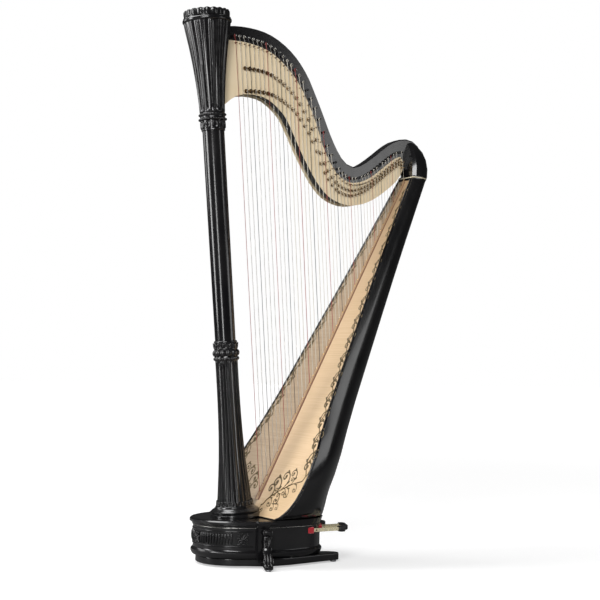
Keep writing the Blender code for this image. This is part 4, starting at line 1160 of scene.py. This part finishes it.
def pedal_fittings():
    """Ribbed rubber caps, felt sleeves where the pedals pass the wall, and a screw through each bar."""
    for letter, row in zip(pedal_letters, pedal_rows):
        body = "pedal_" + letter
        bar = smoothed(body, 0.0009, 30, pedal_brass)
        low, high = (Vector(corner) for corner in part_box("pedal_cap_" + letter))
        middle, size = (low + high) / 2, high - low
        cap = slab(size - Vector((0.0, 0.0010, 0.0016)), middle, 0.0042, 4)
        rib = slab((0.0020, size.y - 0.0030, size.z), middle, 0.0009, 2)
        ribs = laid_out(rib, [Matrix.Translation((step * 0.0036, 0, 0)) for step in (-2, -1, 0, 1, 2)])
        cap = finished(joined([cap, ribs]), f"pedal_cap_{letter}_ribbed", black_rubber, body, 40)
        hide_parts("pedal_cap_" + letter)

        reach, power = wall_curves[False]
        wall_x = wall_centre_x + reach * (1 - (abs(row) / wall_half_width) ** (2 / power)) ** (power / 2)
        sleeve = slab((0.0400, 0.0094, 0.0220), (wall_x - 0.0100, row, pedal_bar_z + 0.0001), 0.0040, 4)
        finished(sleeve, f"pedal_sleeve_{letter}", red_felt, body, 60)

        screw = turned(((0.0, 0.0026), (0.0005, 0.0026), (0.0009, 0.0018), (0.0006, 0.0010)), 12)
        place = facing(wall_x + 0.019, row - 0.0029, pedal_bar_z)
        finished(laid_out(screw, [place]), f"pedal_screw_{letter}", dark_brass, body, 35)


# Soundbox

def board_edges():
    """The black half-round moulding down both edges of the soundboard."""
    heights = [0.1585 + (1.3595 - 0.1585) * (step / 90) ** 1.4 for step in range(91)]
    pieces = []
    for side in (-1, 1):
        points = [
            on_board(z, side * (board_half_width(z) - 0.0034), proud=0.0006).to_translation() for z in heights
        ]
        pieces.append(tube(points, 0.0036, 10))
    finished(joined(pieces), "board_edge_moulding", lacquer, angle=60)


def vine_stroke(points, radius):
    """A gilt stroke on the board, from points up and across it, lying low on the wood."""
    piece = tube([(up, across, 0.0) for up, across in points], radius, 6)
    with shaping(piece):
        bpy.ops.mesh.select_all(action="SELECT")
        bpy.ops.transform.resize(value=(1, 1, 0.35), center_override=(0, 0, 0))
    return piece


def curl_points(size, turns=1.35, steps=26):
    """A stroke that sets off along its own X and curls in to its left."""
    spot, heading, found = Vector((0.0, 0.0)), -0.5, []
    for step in range(steps + 1):
        found.append((spot.x, spot.y))
        share = step / steps
        heading += 2 * math.pi * turns / steps * (0.55 + 0.9 * share)
        spot += Vector((math.cos(heading), math.sin(heading))) * size * (0.32 - 0.24 * share)
    return found


def gilt_curl():
    """One curl of the vine, about 15 mm across: a bud at its heart and leaves along its back."""
    path = curl_points(0.0100, 1.25)
    pieces = [vine_stroke(path, 0.00125)]
    flat = Matrix.Rotation(math.radians(-90), 4, "Y")
    bud = bead(0.0060, 0.0060, 0.0011, 8)
    bud.data.transform(Matrix.Translation((*path[-1], 0)) @ flat)
    pieces.append(bud)
    blade = bead(0.0044, 0.0072, 0.0011, 8)
    places = []
    for step in (2, 9):
        ahead = Vector(path[step + 1]) - Vector(path[step])
        heading = math.atan2(ahead.y, ahead.x) - 0.5
        spot = Vector(path[step]) + Vector((math.cos(heading), math.sin(heading))) * 0.0028
        places.append(Matrix.Translation((*spot, 0)) @ Matrix.Rotation(heading, 4, "Z") @ flat)
    pieces.append(laid_out(blade, places))
    return joined(pieces)


def gilt_work():
    """A vine up each edge of the soundboard and a spray at its foot: a layout of the traditional kind."""
    curls, stems = [], []
    for side in (-1, 1):
        stem = []
        for step in range(121):
            share = step / 120
            z = 0.285 + 1.030 * share
            inset = 0.0290 - 0.0145 * share
            sway = math.sin(2 * math.pi * share * 15) * (0.0085 - 0.0045 * share)
            stem.append((z, side * (board_half_width(z) - inset + sway)))
        stems.append(stem)
        for step in range(30):
            share = (step + 0.5) / 30
            z = 0.285 + 1.030 * share
            inset = 0.0290 - 0.0145 * share
            hand = side if step % 2 else -side
            sway = -hand * (0.0085 - 0.0045 * share) * side
            place = on_board(z, side * (board_half_width(z) - inset) + sway * side, 0.25 * -hand, 2.35 - 1.10 * share)
            curls.append((place, hand))
        for up, across, turn, size, kind in spray_curls:
            curls.append((on_board(up, side * across, side * turn, size), -side * kind))
        stems.append([(up, side * across) for up, across in spray_stem])
    flip = Matrix.Scale(-1, 4, (0, 1, 0))
    curl = gilt_curl()
    pieces = [outward(laid_out(curl, [place if hand > 0 else place @ flip for place, hand in curls]))]
    for stem in stems:
        spots = [on_board(z, y, proud=0.0001).to_translation() for z, y in stem]
        pieces.append(tube(spots, 0.0018, 6))
    finished(joined(pieces), "gilt_scrolls", gilt, angle=60)


def shoulder_line():
    """The shoulder's black band with a fine ivory line let into it."""
    smoothed("shoulder_band", 0.0006, 40, lacquer)
    node = nodes["shoulder_band"]
    line = node.copy()
    line.data = node.data.copy()
    line.parent = None
    for key in list(line.keys()):
        del line[key]
    bpy.context.scene.collection.objects.link(line)
    line.matrix_world = Matrix.Identity(4)
    line.hide_render = line.hide_viewport = False
    take(line)
    bpy.ops.mesh.customdata_custom_splitnormals_clear()
    low, high = (Vector(corner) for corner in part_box("shoulder_band"))
    middle = (low + high) / 2
    with shaping(line):
        bpy.ops.mesh.select_all(action="SELECT")
        bpy.ops.mesh.remove_doubles(threshold=1e-5)
        for level, direction in ((middle.z + 0.0022, 1), (middle.z - 0.0022, -1)):
            bpy.ops.mesh.select_all(action="SELECT")
            bpy.ops.mesh.bisect(plane_co=(0, 0, level), plane_no=(0, 0, direction), use_fill=True, clear_outer=True)
        bpy.ops.mesh.select_all(action="SELECT")
        bpy.ops.transform.resize(value=(1.008, 1.008, 1), center_override=middle)
    finished(eased(line, 0.0004, 1), "shoulder_ivory_line", bone, angle=40)


column_foot()
column_collar()
capital()
crown()
strings()
tuning_pins_and_eyelets()
action()
base_trim()
console_carving()
floor_screws()
pedal_fittings()
smoothed("pedal_felt", 0.0006, 40)
board_edges()
gilt_work()
shoulder_line()
